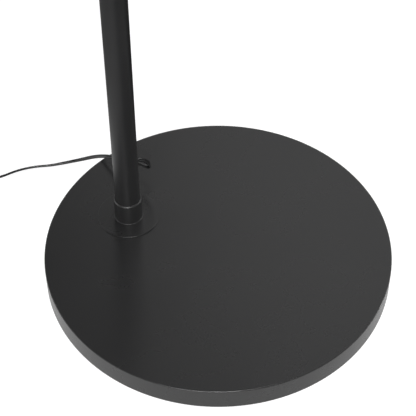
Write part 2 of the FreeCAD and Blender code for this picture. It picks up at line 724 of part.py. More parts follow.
def ribbed_tube(low, high, ribs):
    """A stretch of ribbed neck between two heights, one groove at each rib's end."""
    crest = size("neck_diameter / 2")
    root = size("neck_diameter / 2 - neck_groove_depth")
    flank = size("neck_flank")
    pitch = (high - low) / ribs
    rings = []
    for rib in range(ribs):
        start = low + rib * pitch
        for radius, height in ((root, start), (crest, start + flank), (crest, start + pitch - flank)):
            rings.append(polygon(radius, height, NECK_SIDES))
    rings.append(polygon(root, high, NECK_SIDES))
    return Part.makeLoft(rings, True, True)


def hinge_frame(index):
    """Place of a hinge, with its Z axis along the middle of the two links that it joins."""
    point = Vector(-size("pole_offset"), 0, size(f"{NECK_START} + neck_stub"))
    for step in range(1, index + 1):
        point += Vector(math.sin(KINK * step), 0, math.cos(KINK * step)) * size("link_length")
    return Placement(point, Rotation(Vector(0, 1, 0), math.degrees(KINK) * (index + 0.5)))


def link_frame(index):
    """Place of the stretch above hinge number index, with its Z axis along the stretch."""
    return Placement(hinge_frame(index).Base, Rotation(Vector(0, 1, 0), math.degrees(KINK) * (index + 1)))


def hinge_rod(index, radius, width):
    """A rod along a hinge's axis: across the lamp for most, in its middle plane for the sideways hinges."""
    quarter = Rotation(Vector(0, 1, 0), 90) if index in SIDEWAYS_HINGES else Rotation(Vector(1, 0, 0), -90)
    rod = prism(radius, -width / 2, width / 2, KNUCKLE_SIDES)
    rod.Placement = hinge_frame(index) * Placement(Vector(), quarter)
    return rod


def knuckle(index):
    """The round end that a stretch of neck puts into the next one, on a square stem."""
    radius = size("knuckle_radius")
    width = size("knuckle_width")
    depth = size("hinge_gap + knuckle_root")
    across, along = (width, 2 * radius) if index in SIDEWAYS_HINGES else (2 * radius, width)
    stem = Part.makeBox(across, along, depth, Vector(-across / 2, -along / 2, -depth))
    stem.Placement = hinge_frame(index)
    return hinge_rod(index, radius, width).fuse(stem)


def knuckle_bore(index):
    """The way for the lead through a round end."""
    bore = prism(size("neck_bore / 2"), -size("hinge_gap + knuckle_root"), size("knuckle_radius + 1"), BORE_SIDES)
    bore.Placement = hinge_frame(index)
    return bore


def stretch_bore(frame, low, high):
    """The way for the lead along a stretch of neck."""
    bore = prism(size("neck_bore / 2"), low, high, BORE_SIDES)
    bore.Placement = frame
    return bore


def seat_of(index):
    """The seat of a hinge, whose flats clear the round end's corners, cut into the stretch above it."""
    flats = size("knuckle_radius + knuckle_fit")
    corners = flats / math.cos(math.pi / KNUCKLE_SIDES)
    return hinge_rod(index, corners, size("knuckle_width + 2 * knuckle_side_gap"))


def neck_piece(label, shape):
    doc.addObject("Part::Feature", label).Shape = shape


def make_neck():
    """Fixed root, links and fixed end: ribbed stretches that turn on round knuckles."""
    gap = size("hinge_gap")
    length = size("link_length")
    stub = size("neck_stub")
    spigot_radius = size("neck_spigot_diameter / 2")
    spigot = size("neck_spigot_length")
    stub_ribs = max(1, round(NECK_RIBS * (stub - gap) / (length - 2 * gap)))

    root_frame = Placement(Vector(-size("pole_offset"), 0, size(NECK_START)), Rotation())
    root = ribbed_tube(0, stub - gap, stub_ribs).fuse(
        Part.makeCylinder(spigot_radius, spigot, Vector(0, 0, -spigot)))
    root.Placement = root_frame
    root = root.fuse(knuckle(0)).cut([stretch_bore(root_frame, -spigot - 1, stub), knuckle_bore(0)])
    neck_piece("neck_root", root)

    for index in range(NECK_LINKS):
        frame = link_frame(index)
        link = ribbed_tube(gap, length - gap, NECK_RIBS)
        link.Placement = frame
        link = link.fuse(knuckle(index + 1))
        link = link.cut([seat_of(index), stretch_bore(frame, 0, length), knuckle_bore(index + 1)])
        neck_piece(f"neck_link_{index + 1}", link)

    end_frame = link_frame(NECK_LINKS)
    ferrule_end = stub + size("ferrule_length")
    ferrule = Part.makeCylinder(size("ferrule_diameter / 2"), size("ferrule_length"), Vector(0, 0, stub))
    tail = Part.makeCylinder(size("tail_diameter / 2"), size("tail_length"), Vector(0, 0, ferrule_end))
    end = ribbed_tube(gap, stub, stub_ribs).fuse([ferrule, tail])
    end.Placement = end_frame
    end = end.cut([seat_of(NECK_LINKS), stretch_bore(end_frame, 0, ferrule_end + size("tail_length") + 1)])
    neck_piece("neck_end", end)


# Light head

def make_housing():
    """Slim housing, open below, with a solid rear end for the neck's tail and a hole for the button."""
    housing = doc.addObject("PartDesign::Body", "head_housing")
    block = new_sketch(housing, "XY_Plane", "housing_outline", "-head_height / 2")
    draw_rectangle(block, "0", "head_length", "head_width / 2")
    body = housing.newObject("PartDesign::Pad", "housing_block")
    body.Profile = block
    body.setExpression("Length", bound("head_height"))
    housing.Tip = body
    doc.recompute()
    rounded(housing, "housing_corners", "head_corner", upright)
    top = size("head_height / 2")
    bevelled(housing, "housing_edge", "head_edge", lambda edge: edge.BoundBox.ZMin > top - 0.01)

    inner = new_sketch(housing, "XY_Plane", "hollow_outline", "-head_height / 2")
    draw_rounded_rectangle(inner, "head_rear", "head_length - head_wall", "head_width / 2 - head_wall",
                           "head_corner - head_wall")
    pocket(housing, inner, "hollow", "head_height - head_wall", True)
    drilled(housing, "button_hole", "button_offset", "button_diameter / 2 + button_fit", CEILING, "head_height / 2")

    tail = new_sketch(housing, "YZ_Plane", "tail_circle")
    draw_circle(tail, "0", "0", "tail_diameter / 2 + sleeve_fit")
    pocket(housing, tail, "tail_hole", "tail_length + bolt_clearance", True)
    on_head(housing)


def make_tray():
    """Opal tray that closes the housing from below, its walls standing against the ceiling."""
    tray = doc.addObject("PartDesign::Body", "diffuser")
    near = "head_rear + diffuser_gap"
    far = "head_length - head_wall - diffuser_gap"
    half = "head_width / 2 - head_wall - diffuser_gap"
    corner = "head_corner - head_wall - diffuser_gap"
    outline = new_sketch(tray, "XY_Plane", "tray_outline", TRAY_UNDER)
    draw_rounded_rectangle(outline, near, far, half, corner)
    block = tray.newObject("PartDesign::Pad", "tray_block")
    block.Profile = outline
    block.setExpression("Length", bound(f"{CEILING} - {TRAY_UNDER}"))
    tray.Tip = block
    doc.recompute()
    inner = new_sketch(tray, "XY_Plane", "tray_hollow_outline", f"{TRAY_UNDER} + diffuser_thickness")
    draw_rounded_rectangle(inner, f"{near} + diffuser_wall", f"{far} - diffuser_wall",
                           f"{half} - diffuser_wall", f"{corner} - diffuser_wall")
    pocket(tray, inner, "tray_hollow", f"{CEILING} - {TRAY_UNDER}", True)
    on_head(tray)


def box(label, x, z, length, width, height):
    """A box in the light head, centred across it, from its rear lower edge."""
    piece = doc.addObject("Part::Box", label)
    piece.setExpression("Length", bound(length))
    piece.setExpression("Width", bound(width))
    piece.setExpression("Height", bound(height))
    piece.setExpression("Placement.Base.y", bound(f"-({width}) / 2"))
    on_head(piece, x=x, z=z)
    return piece


def make_light():
    """Heat spreader, light board with two rows of chips, and the driver, all under the ceiling."""
    plate = "(head_length - spreader_end_gap - spreader_start)"
    box("heat_spreader", "spreader_start", SPREADER_UNDER, plate, "spreader_width", "spreader_thickness")
    board = f"({plate} - 2 * board_margin)"
    start = "(spreader_start + board_margin)"
    box("light_board", start, BOARD_UNDER, board, "spreader_width - 2 * board_margin", "board_thickness")
    box("driver", "driver_start", f"{CEILING} - driver_height", "driver_length", "driver_width", "driver_height")

    chips = []
    for column in range(CHIPS_IN_ROW):
        for side in (-1, 1):
            chip = doc.addObject("Part::Box", f"chip_{column + 1}_{side + 2}")
            chip.setExpression("Length", bound("chip_size"))
            chip.setExpression("Width", bound("chip_size"))
            chip.setExpression("Height", bound("chip_height"))
            step = f"({board} - 2 * chip_margin) / {CHIPS_IN_ROW - 1}"
            chip.setExpression("Placement.Base.x", bound(f"{start} + chip_margin + {column} * {step} - chip_size / 2"))
            chip.setExpression("Placement.Base.y", bound(f"{side} * chip_row_spacing / 2 - chip_size / 2"))
            chips.append(chip)
    group = doc.addObject("Part::Compound", "light_chips")
    group.Links = chips
    on_head(group, z=f"{BOARD_UNDER} - chip_height")


def make_button():
    """Push button in the housing's top and the switch that it presses."""
    radius = "(button_diameter / 2)"
    stem = "(button_stem_diameter / 2)"
    step = f"({CEILING} + button_rest)"
    stem_end = f"({step} - button_stem_length)"
    turned("power_button", [
        ("0", stem_end), (stem, stem_end), (stem, step), (radius, step),
        (radius, "head_height / 2 + button_proud"), ("0", "head_height / 2 + button_proud")],
        lambda piece: on_head(piece, x="button_offset"))

    switch_under = f"({CEILING} - switch_height)"
    block = box("switch_block", "button_offset - switch_size / 2", switch_under, "switch_size", "switch_size",
                "switch_height")
    seat_under = f"({step} - button_travel - switch_gap)"
    stem_under = f"({stem_end} - button_travel - switch_gap)"
    bores = []
    for name, low, bore in (("button_seat", seat_under, radius), ("stem_seat", stem_under, stem)):
        cylinder = doc.addObject("Part::Cylinder", name)
        cylinder.setExpression("Radius", bound(f"{bore} + switch_gap"))
        cylinder.setExpression("Height", bound(f"{CEILING} - {low}"))
        on_head(cylinder, x="button_offset", z=low)
        bores.append(cylinder)
    stepped = doc.addObject("Part::Fuse", "switch_bore")
    stepped.Base = bores[0]
    stepped.Tool = bores[1]
    switch = doc.addObject("Part::Cut", "button_switch")
    switch.Base = block
    switch.Tool = stepped
    doc.recompute()


# Whole lamp

PIECES = [
    "base_cover", "base_ballast", "base_pad", "base_bolt", "pole_socket", "pole_lower", "pole_middle",
    "pole_upper", "cord_bushing", "pole_lead", "neck_root",
    *[f"neck_link_{index + 1}" for index in range(NECK_LINKS)],
    "neck_end", "head_housing", "heat_spreader", "light_board", "light_chips", "driver", "diffuser",
    "button_switch", "power_button", "supply_lead", "supply_lead_coil", "adapter_relief", "adapter_housing",
    "adapter_blades",
]


def check_and_write():
    """See that every object and every piece is sound, then write the pieces."""
    doc.recompute()
    for thing in doc.Objects:
        assert not {"Invalid", "Error"} & set(thing.State), thing.Label
    for name in PIECES:
        shape = doc.getObject(name).Shape
        assert not shape.isNull() and shape.isValid() and shape.Volume > 0, name
    for name in PIECES:
        doc.getObject(name).Shape.exportStep(f"parts/{name}.step")
    print(len(PIECES), "pieces written")


make_base()
make_socket()
make_pole()
make_bushing()
make_lead()
make_neck()
make_housing()
make_tray()
make_light()
make_button()
check_and_write()
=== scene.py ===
"""Gooseneck reading floor lamp, dressed over its CAD frame.

Metres, in the CAD's frame: +Z up from the floor, +X from the pole across the base.
"""
import logging
import math
from dataclasses import dataclass
from enum import Enum
from typing import Callable, Sequence

import bmesh
import bpy
from mathutils import Matrix, Vector


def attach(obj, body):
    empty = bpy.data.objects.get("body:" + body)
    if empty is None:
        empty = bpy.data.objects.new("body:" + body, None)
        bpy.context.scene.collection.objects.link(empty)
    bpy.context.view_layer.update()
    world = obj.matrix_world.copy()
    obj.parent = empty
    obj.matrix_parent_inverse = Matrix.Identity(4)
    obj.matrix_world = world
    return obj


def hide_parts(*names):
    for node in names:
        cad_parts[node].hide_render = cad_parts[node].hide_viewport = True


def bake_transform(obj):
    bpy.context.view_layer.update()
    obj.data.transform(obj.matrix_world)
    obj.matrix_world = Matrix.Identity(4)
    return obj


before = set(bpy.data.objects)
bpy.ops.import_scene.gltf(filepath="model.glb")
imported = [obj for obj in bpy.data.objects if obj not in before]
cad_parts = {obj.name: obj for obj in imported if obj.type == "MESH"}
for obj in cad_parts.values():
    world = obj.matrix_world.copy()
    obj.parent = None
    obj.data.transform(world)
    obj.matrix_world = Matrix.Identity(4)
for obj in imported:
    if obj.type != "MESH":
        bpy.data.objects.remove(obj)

log = logging.getLogger("reading_lamp")

Pair = tuple[float, float]
Triple = tuple[float, float, float]
Socket = bpy.types.NodeSocket
Edge = bmesh.types.BMEdge
Face = bmesh.types.BMFace
EdgeTest = Callable[[Edge], bool]

POLE_X = -0.0889
"""Pole axis, from the middle of the base."""

FLANGE_TOP = 0.023
"""Floor to the foot of the pole."""

TINY = 1e-6
"""Less than this is no distance."""

SAME_POINT = 1e-7
"""Corners nearer to each other than this are one."""

NOISE_ENDS = (0.3, 0.7)
"""The values that a noise stays between in most places."""

CREASE = 50.0
"""An edge is sharp when its faces meet at more than this many degrees."""


def put(name: str, data: bpy.types.ID) -> bpy.types.Object:
    """Put something in the scene, at the origin.

    Args:
        name: What it is called.
        data: Its mesh, curve, lamp or camera.

    Returns:
        The object.
    """
    thing = bpy.data.objects.new(name, data)
    bpy.context.scene.collection.objects.link(thing)
    return thing


# Shader nodes


class Nodes:
    """The nodes of one material or world, and the few kinds of node that the lamp uses."""

    def __init__(self, owner: bpy.types.Material | bpy.types.World) -> None:
        """Start from the nodes that a new material or world has."""
        owner.use_nodes = True
        self.tree = owner.node_tree

    def fill(self, node: bpy.types.Node, values: dict[str | int, Socket | float | Triple]) -> None:
        """Set or link inputs of a node.

        Args:
            node: The node.
            values: What its inputs take, each by its name or place.
        """
        for name, value in values.items():
            if isinstance(value, Socket):
                self.tree.links.new(value, node.inputs[name])
            else:
                node.inputs[name].default_value = value

    def add(self, kind: str, values: dict[str | int, Socket | float | Triple]) -> bpy.types.Node:
        """Add a node.

        Args:
            kind: Its type, without the ShaderNode that every type starts with.
            values: What its inputs take, each by its name or place.

        Returns:
            The node.
        """
        node = self.tree.nodes.new(f"ShaderNode{kind}")
        self.fill(node, values)
        return node

    def spots(self, system: str) -> Socket:
        """Where the surface is, or which way the sky is looked at, in one of the coordinate systems."""
        return self.add("TexCoord", {}).outputs[system]

    def noise(self, spots: Socket, scale: float, detail: float) -> Socket:
        """A noise from 0 to 1, with so many waves in a metre and so much finer detail."""
        return self.add("TexNoise", {"Scale": scale, "Detail": detail, "Vector": spots}).outputs["Fac"]

    def join(self, operation: str, *values: Socket | float | Triple, kind: str = "Math") -> Socket:
        """Work something out with a Math or Vector Math node.

        Args:
            operation: What the node does.
            values: What it takes, in order.
            kind: The node's type.

        Returns:
            The number that comes out.
        """
        node = self.add(kind, dict(enumerate(values)))
        node.operation = operation
        return node.outputs["Value"]

    def between(self, value: Socket, ends: Pair, levels: Pair, course: str = "SMOOTHSTEP") -> Socket:
        """A value that goes from one level to another.

        Args:
            value: What it depends on.
            ends: Where it starts and stops changing.
            levels: Its level at each end.
            course: How it goes between them.

        Returns:
            The value.
        """
        names = ("Value", "From Min", "From Max", "To Min", "To Max")
        ramp = self.add("MapRange", dict(zip(names, (value, *ends, *levels))))
        ramp.interpolation_type = course
        return ramp.outputs["Result"]

    def toward(self, spots: Socket, way: Triple) -> Socket:
        """How far a place lies one way."""
        return self.join("DOT_PRODUCT", spots, way, kind="VectorMath")

    def away(self, spots: Socket) -> Socket:
        """How far a place is from the origin."""
        return self.join("LENGTH", spots, kind="VectorMath")

    def rays(self, kind: str) -> Socket:
        """One for rays of a kind that the Light Path node names, else nothing."""
        return self.add("LightPath", {}).outputs[kind]

    def mirror_rays(self) -> Socket:
        """One for rays that come from a glossy or clear surface, else nothing."""
        return self.join("MAXIMUM", self.rays("Is Glossy Ray"), self.rays("Is Transmission Ray"))


# Finishes


class Relief(Enum):
    """What the small relief of a surface looks like."""

    SMOOTH = "smooth"
    ORANGE_PEEL = "orange peel"
    GRAINED = "grained"
    BRUSHED = "brushed"
    PITTED = "pitted"


RELIEF_DETAIL = {Relief.ORANGE_PEEL: 1.0, Relief.BRUSHED: 2.0, Relief.GRAINED: 5.0}
"""How much finer detail the noise of a relief has."""

BRUSH_SCALE = (0.02, 1.0, 1.0)
"""What places are multiplied by for brush marks, which run along X."""


@dataclass(frozen=True)
class Finish:
    """A surface finish: one shader whose colour, roughness and relief vary from place to place.

    Patches of colour and smears of wear are each so many waves in a metre and so much finer detail.
    """

    name: str
    colour: Triple
    roughness: float
    relief: Relief = Relief.SMOOTH
    metallic: float = 0.0
    specular: float = 0.5
    grain: float = 900.0
    height: float = 0.00002
    mottle: float = 0.06
    wear: float = 0.06
    patches: Pair = (14.0, 3.0)
    smears: Pair = (23.0, 4.0)
    translucent: float = 0.0
    light_reach: float = 0.004

    def material(self) -> bpy.types.Material:
        """The finish as a node material, made once.

        Returns:
            The material of that name.
        """
        made = bpy.data.materials.get(self.name)
        if made is not None:
            return made
        made = bpy.data.materials.new(self.name)
        made.diffuse_color = (*self.colour, 1.0)
        nodes = Nodes(made)
        spots = nodes.spots("Object")
        looks = {"Metallic": self.metallic, "Specular IOR Level": self.specular,
                 "Base Color": self.mottled(nodes, spots), "Roughness": self.worn(nodes, spots)}
        if self.translucent:
            looks |= {"Subsurface Weight": self.translucent, "Subsurface Scale": 1.0,
                      "Subsurface Radius": (self.light_reach, self.light_reach, self.light_reach)}
        if self.relief is not Relief.SMOOTH:
            looks["Normal"] = self.raised(nodes, spots)
        nodes.fill(nodes.tree.nodes["Principled BSDF"], looks)
        return made

    def mottled(self, nodes: Nodes, spots: Socket) -> Socket:
        """The colour, which is a little darker or lighter from place to place.

        Args:
            nodes: The material's nodes.
            spots: Place on the piece.

        Returns:
            The mottled colour.
        """
        ramp = nodes.add("ValToRGB", {"Fac": nodes.noise(spots, *self.patches)})
        shares = (1 - self.mottle, 1 + self.mottle)
        for stop, position, share in zip(ramp.color_ramp.elements, NOISE_ENDS, shares):
            stop.position = position
            stop.color = (*(min(1.0, part * share) for part in self.colour), 1.0)
        return ramp.outputs["Color"]

    def worn(self, nodes: Nodes, spots: Socket) -> Socket:
        """The roughness, which changes where hands and cloths have been."""
        levels = (self.roughness * (1 - self.wear), min(1.0, self.roughness * (1 + self.wear)))
        return nodes.between(nodes.noise(spots, *self.smears), NOISE_ENDS, levels, "LINEAR")

    def raised(self, nodes: Nodes, spots: Socket) -> Socket:
        """The way that the surface faces on its small bumps.

        Args:
            nodes: The material's nodes.
            spots: Place on the piece.

        Returns:
            The bumpy normal.
        """
        if self.relief is Relief.BRUSHED:
            spots = nodes.add("Mapping", {"Scale": BRUSH_SCALE, "Vector": spots}).outputs["Vector"]
        if self.relief is Relief.PITTED:
            wave = nodes.add("TexVoronoi", {"Scale": self.grain, "Vector": spots}).outputs["Distance"]
        else:
            wave = nodes.noise(spots, self.grain, RELIEF_DETAIL[self.relief])
        bump = nodes.add("Bump", {"Strength": 1.0, "Distance": self.height, "Height": wave})
        return bump.outputs["Normal"]


SATIN_POWDER = Finish("satin_powder_coat", (0.0165, 0.0165, 0.0168), 0.27, Relief.ORANGE_PEEL,
                      specular=0.56, grain=900.0, height=0.000004, mottle=0.03, wear=0.04)
SATIN_ENAMEL = Finish("satin_enamel", (0.021, 0.021, 0.0215), 0.36, Relief.ORANGE_PEEL,
                      specular=0.4, grain=500.0, height=0.00001)
NECK_ENAMEL = Finish("neck_enamel", (0.016, 0.016, 0.0165), 0.34, Relief.ORANGE_PEEL,
                     specular=0.45, grain=1200.0, height=0.000008)
LEAD_VINYL = Finish("lead_vinyl", (0.011, 0.011, 0.0115), 0.22, Relief.GRAINED,
                    specular=0.45, grain=1500.0, height=0.00001)
BUSHING_RUBBER = Finish("bushing_rubber", (0.012, 0.012, 0.012), 0.62, Relief.GRAINED, grain=1500.0)
MOULDED_BLACK = Finish("moulded_black", (0.013, 0.013, 0.0135), 0.5, Relief.GRAINED,
                       grain=2200.0, height=0.00003)
BUTTON_PLASTIC = Finish("button_plastic", (0.02, 0.02, 0.021), 0.3, Relief.GRAINED,
                        grain=1800.0, height=0.000008)
OPAL_PLASTIC = Finish("opal_plastic", (0.82, 0.82, 0.79), 0.42, Relief.GRAINED, grain=2500.0,
                      height=0.00001, mottle=0.01, translucent=0.35)
CEMENT = Finish("cement", (0.36, 0.35, 0.33), 0.85, Relief.PITTED, grain=420.0, height=0.0004,
                mottle=0.18)
PAD_FOAM = Finish("pad_foam", (0.02, 0.02, 0.021), 0.95, Relief.PITTED, specular=0.2,
                  grain=1300.0, height=0.0003)
ZINC_STEEL = Finish("zinc_steel", (0.55, 0.55, 0.57), 0.34, Relief.BRUSHED, metallic=1.0,
                    grain=3000.0, height=0.00001)
BLADE_BRASS = Finish("blade_brass", (0.75, 0.58, 0.3), 0.22, Relief.BRUSHED, metallic=1.0,
                     grain=3000.0, height=0.000006)
SPREADER_ALUMINIUM = Finish("spreader_aluminium", (0.72, 0.72, 0.74), 0.4, Relief.BRUSHED,
                            metallic=1.0, grain=2500.0, height=0.00001)
BOARD_WHITE = Finish("board_white", (0.8, 0.8, 0.78), 0.45, mottle=0.02)
CHIP_YELLOW = Finish("chip_yellow", (0.85, 0.62, 0.1), 0.25, mottle=0.08)


# Mesh work that every sub-assembly uses


class Shape:
    """A mesh in the making, which becomes one named piece of the lamp."""

    def __init__(self, name: str) -> None:
        """Start an empty shape."""
        self.name = name
        self.mesh = bmesh.new()

    def turn(self, outline: Sequence[tuple[float, float]], steps: int = 96) -> "Shape":
        """Turn a closed outline of (radius, height) points round the Z axis.

        Args:
            outline: The section, on one side of the axis.
            steps: Faces round the axis.

        Returns:
            The shape itself.
        """
        points = [self.mesh.verts.new((radius, 0.0, height)) for radius, height in outline]
        for point, after in zip(points, [*points[1:], points[0]]):
            if max(point.co.x, after.co.x) > TINY:
                self.mesh.edges.new((point, after))
        return self.spin(steps)

    def spin(self, steps: int) -> "Shape":
        """Spin what is drawn round the Z axis into a closed skin.

        Args:
            steps: Faces round the axis.

        Returns:
            The shape itself.
        """
        bmesh.ops.spin(self.mesh, geom=[*self.mesh.verts, *self.mesh.edges], cent=(0, 0, 0),
                       axis=(0, 0, 1), angle=math.tau, steps=steps, use_merge=True)
        return self.close()

    def block(self, low: Sequence[float], high: Sequence[float]) -> "Shape":
        """Add a box between two corners.

        Args:
            low: Lowest corner.
            high: Highest corner.

        Returns:
            The shape itself.
        """
        made = bmesh.ops.create_cube(self.mesh, size=1.0)["verts"]
        sizes = [top - bottom for bottom, top in zip(low, high)]
        middle = [(top + bottom) / 2 for bottom, top in zip(low, high)]
        bmesh.ops.scale(self.mesh, vec=sizes, verts=made)
        bmesh.ops.translate(self.mesh, vec=middle, verts=made)
        return self

    def plate(self, length: float, width: float, corner: float) -> Face:
        """Add a flat rectangle with rounded corners, round the origin.

        Args:
            length: Its size along X.
            width: Its size along Y.
            corner: Radius of its corners.

        Returns:
            Its one face.
        """
        older = set(self.mesh.faces)
        made = bmesh.ops.create_grid(self.mesh, x_segments=1, y_segments=1, size=0.5)["verts"]
        bmesh.ops.scale(self.mesh, vec=(length, width, 1.0), verts=made)
        bmesh.ops.bevel(self.mesh, geom=made, offset=corner, offset_type="OFFSET", affect="VERTICES",
                        segments=6, profile=0.5, material=-1, clamp_overlap=True)
        return max(set(self.mesh.faces) - older, key=lambda face: face.calc_area())

    def carry(self, face: Face, places: Sequence[Matrix]) -> Face:
        """Carry a flat face through a row of places and leave walls behind it.

        A face that stands alone stays behind as well, and closes the start.

        Args:
            face: The face, drawn round the origin.
            places: Where it starts, passes and stops.

        Returns:
            The face at the last place.
        """
        bmesh.ops.transform(self.mesh, matrix=places[0], verts=list(face.verts))
        for before, after in zip(places, places[1:]):
            walled = [face] if all(len(edge.link_faces) > 1 for edge in face.edges) else []
            grown = bmesh.ops.extrude_face_region(self.mesh, geom=[face])["geom"]
            moved = [item for item in grown if isinstance(item, bmesh.types.BMVert)]
            bmesh.ops.delete(self.mesh, geom=walled, context="FACES_ONLY")
            face = next(item for item in grown if isinstance(item, Face))
            bmesh.ops.transform(self.mesh, matrix=after @ before.inverted(), verts=moved)
        return face

    def side(self, way: Sequence[float]) -> Face:
        """The largest face that looks one way."""
        self.mesh.normal_update()
        return max(self.mesh.faces, key=lambda face: face.calc_area() * face.normal.dot(Vector(way)))

    def loop(self, radius: float, steps: int, place: Matrix) -> list[Edge]:
        """Add a bare circle of so many steps, and give its edges."""
        made = bmesh.ops.create_circle(self.mesh, segments=steps, radius=radius, matrix=place)["verts"]
        return list(dict.fromkeys(edge for point in made for edge in point.link_edges))

    def open_to(self, face: Face, rim: Sequence[Edge]) -> "Shape":
        """Open a flat face along a loop of edges that lies in it.

        Args:
            face: The face.
            rim: The loop.

        Returns:
            The shape itself.
        """
        outline = list(face.edges)
        bmesh.ops.delete(self.mesh, geom=[face], context="FACES_ONLY")
        bmesh.ops.triangle_fill(self.mesh, use_beauty=True, edges=[*outline, *rim])
        return self

    def draw_in(self, rim: Sequence[Edge], places: Sequence[Matrix]) -> list[Edge]:
        """Draw a loop of edges through a row of places and leave a wall behind it.

        Args:
            rim: The loop, at the first place.
            places: Where it starts, passes and stops.

        Returns:
            The loop at the last place.
        """
        last = list(rim)
        for before, after in zip(places, places[1:]):
            grown = bmesh.ops.extrude_edge_only(self.mesh, edges=last)["geom"]
            moved = [item for item in grown if isinstance(item, bmesh.types.BMVert)]
            last = [item for item in grown if isinstance(item, Edge)
                    and all(end in moved for end in item.verts)]
            bmesh.ops.transform(self.mesh, matrix=after @ before.inverted(), verts=moved)
        return last

    def close(self) -> "Shape":
        """Merge doubles and let every face point outwards.

        Returns:
            The shape itself.
        """
        bmesh.ops.remove_doubles(self.mesh, verts=self.mesh.verts, dist=SAME_POINT)
        bmesh.ops.recalc_face_normals(self.mesh, faces=self.mesh.faces)
        return self

    def round_edges(self, width: float, chosen: EdgeTest, segments: int = 3) -> "Shape":
        """Round the edges that a test picks.

        Args:
            width: How far the rounding reaches from the edge.
            chosen: The test.
            segments: Faces across it.

        Returns:
            The shape itself.
        """
        edges = [edge for edge in self.mesh.edges if chosen(edge)]
        bmesh.ops.bevel(self.mesh, geom=edges, offset=width, offset_type="OFFSET", affect="EDGES",
                        segments=segments, profile=0.5, material=-1, clamp_overlap=True)
        return self

    def place(self, matrix: Matrix) -> "Shape":
        """Move the whole shape by a matrix."""
        bmesh.ops.transform(self.mesh, matrix=matrix, verts=self.mesh.verts)
        return self

    def finish(self, finish: Finish, body: str | None, replaced: Sequence[str] = (),
               slot: str = "") -> bpy.types.Object:
        """Make the shape a piece of the lamp.

        Args:
            finish: What it is finished in.
            body: The body that it rides on, or none for a piece that rides on no body.
            replaced: The CAD nodes that it stands for.
            slot: The record's material slot; not used.

        Returns:
            The piece, at the origin.
        """
        data = bpy.data.meshes.new(self.name)
        self.mesh.to_mesh(data)
        self.mesh.free()
        for face in data.polygons:
            face.use_smooth = True
        data.set_sharp_from_angle(angle=math.radians(CREASE))
        data.materials.append(finish.material())
        piece = put(self.name, data)
        even = piece.modifiers.new("even_shading", "WEIGHTED_NORMAL")
        even.keep_sharp = True
        if body is not None:
            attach(piece, body)
        if replaced:
            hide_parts(*replaced)
        log.info("%s: %d faces", self.name, len(data.polygons))
        return piece


def sharp(least: float = CREASE) -> EdgeTest:
    """A test for edges whose faces meet at more than an angle in degrees."""
    return lambda edge: len(edge.link_faces) == 2 and edge.calc_face_angle() > math.radians(least)


def flat_edge(height: float) -> EdgeTest:
    """A test for sharp edges that lie at a height."""
    return lambda edge: sharp()(edge) and all(abs(end.co.z - height) < TINY for end in edge.verts)


def upright(edge: Edge) -> bool:
    """Whether an edge of a block stands upright."""
    return abs(edge.verts[0].co.z - edge.verts[1].co.z) > TINY


def at_pole(height: float = 0.0) -> Matrix:
    """The place of something turned round the pole's axis."""
    return Matrix.Translation((POLE_X, 0.0, height))


# Photographer's side


@dataclass(frozen=True)
class SoftBox:
    """A square lamp: where it hangs, what it shines at, its side and its power."""

    name: str
    spot: Triple
    aim: Triple
    side: float
    power: float


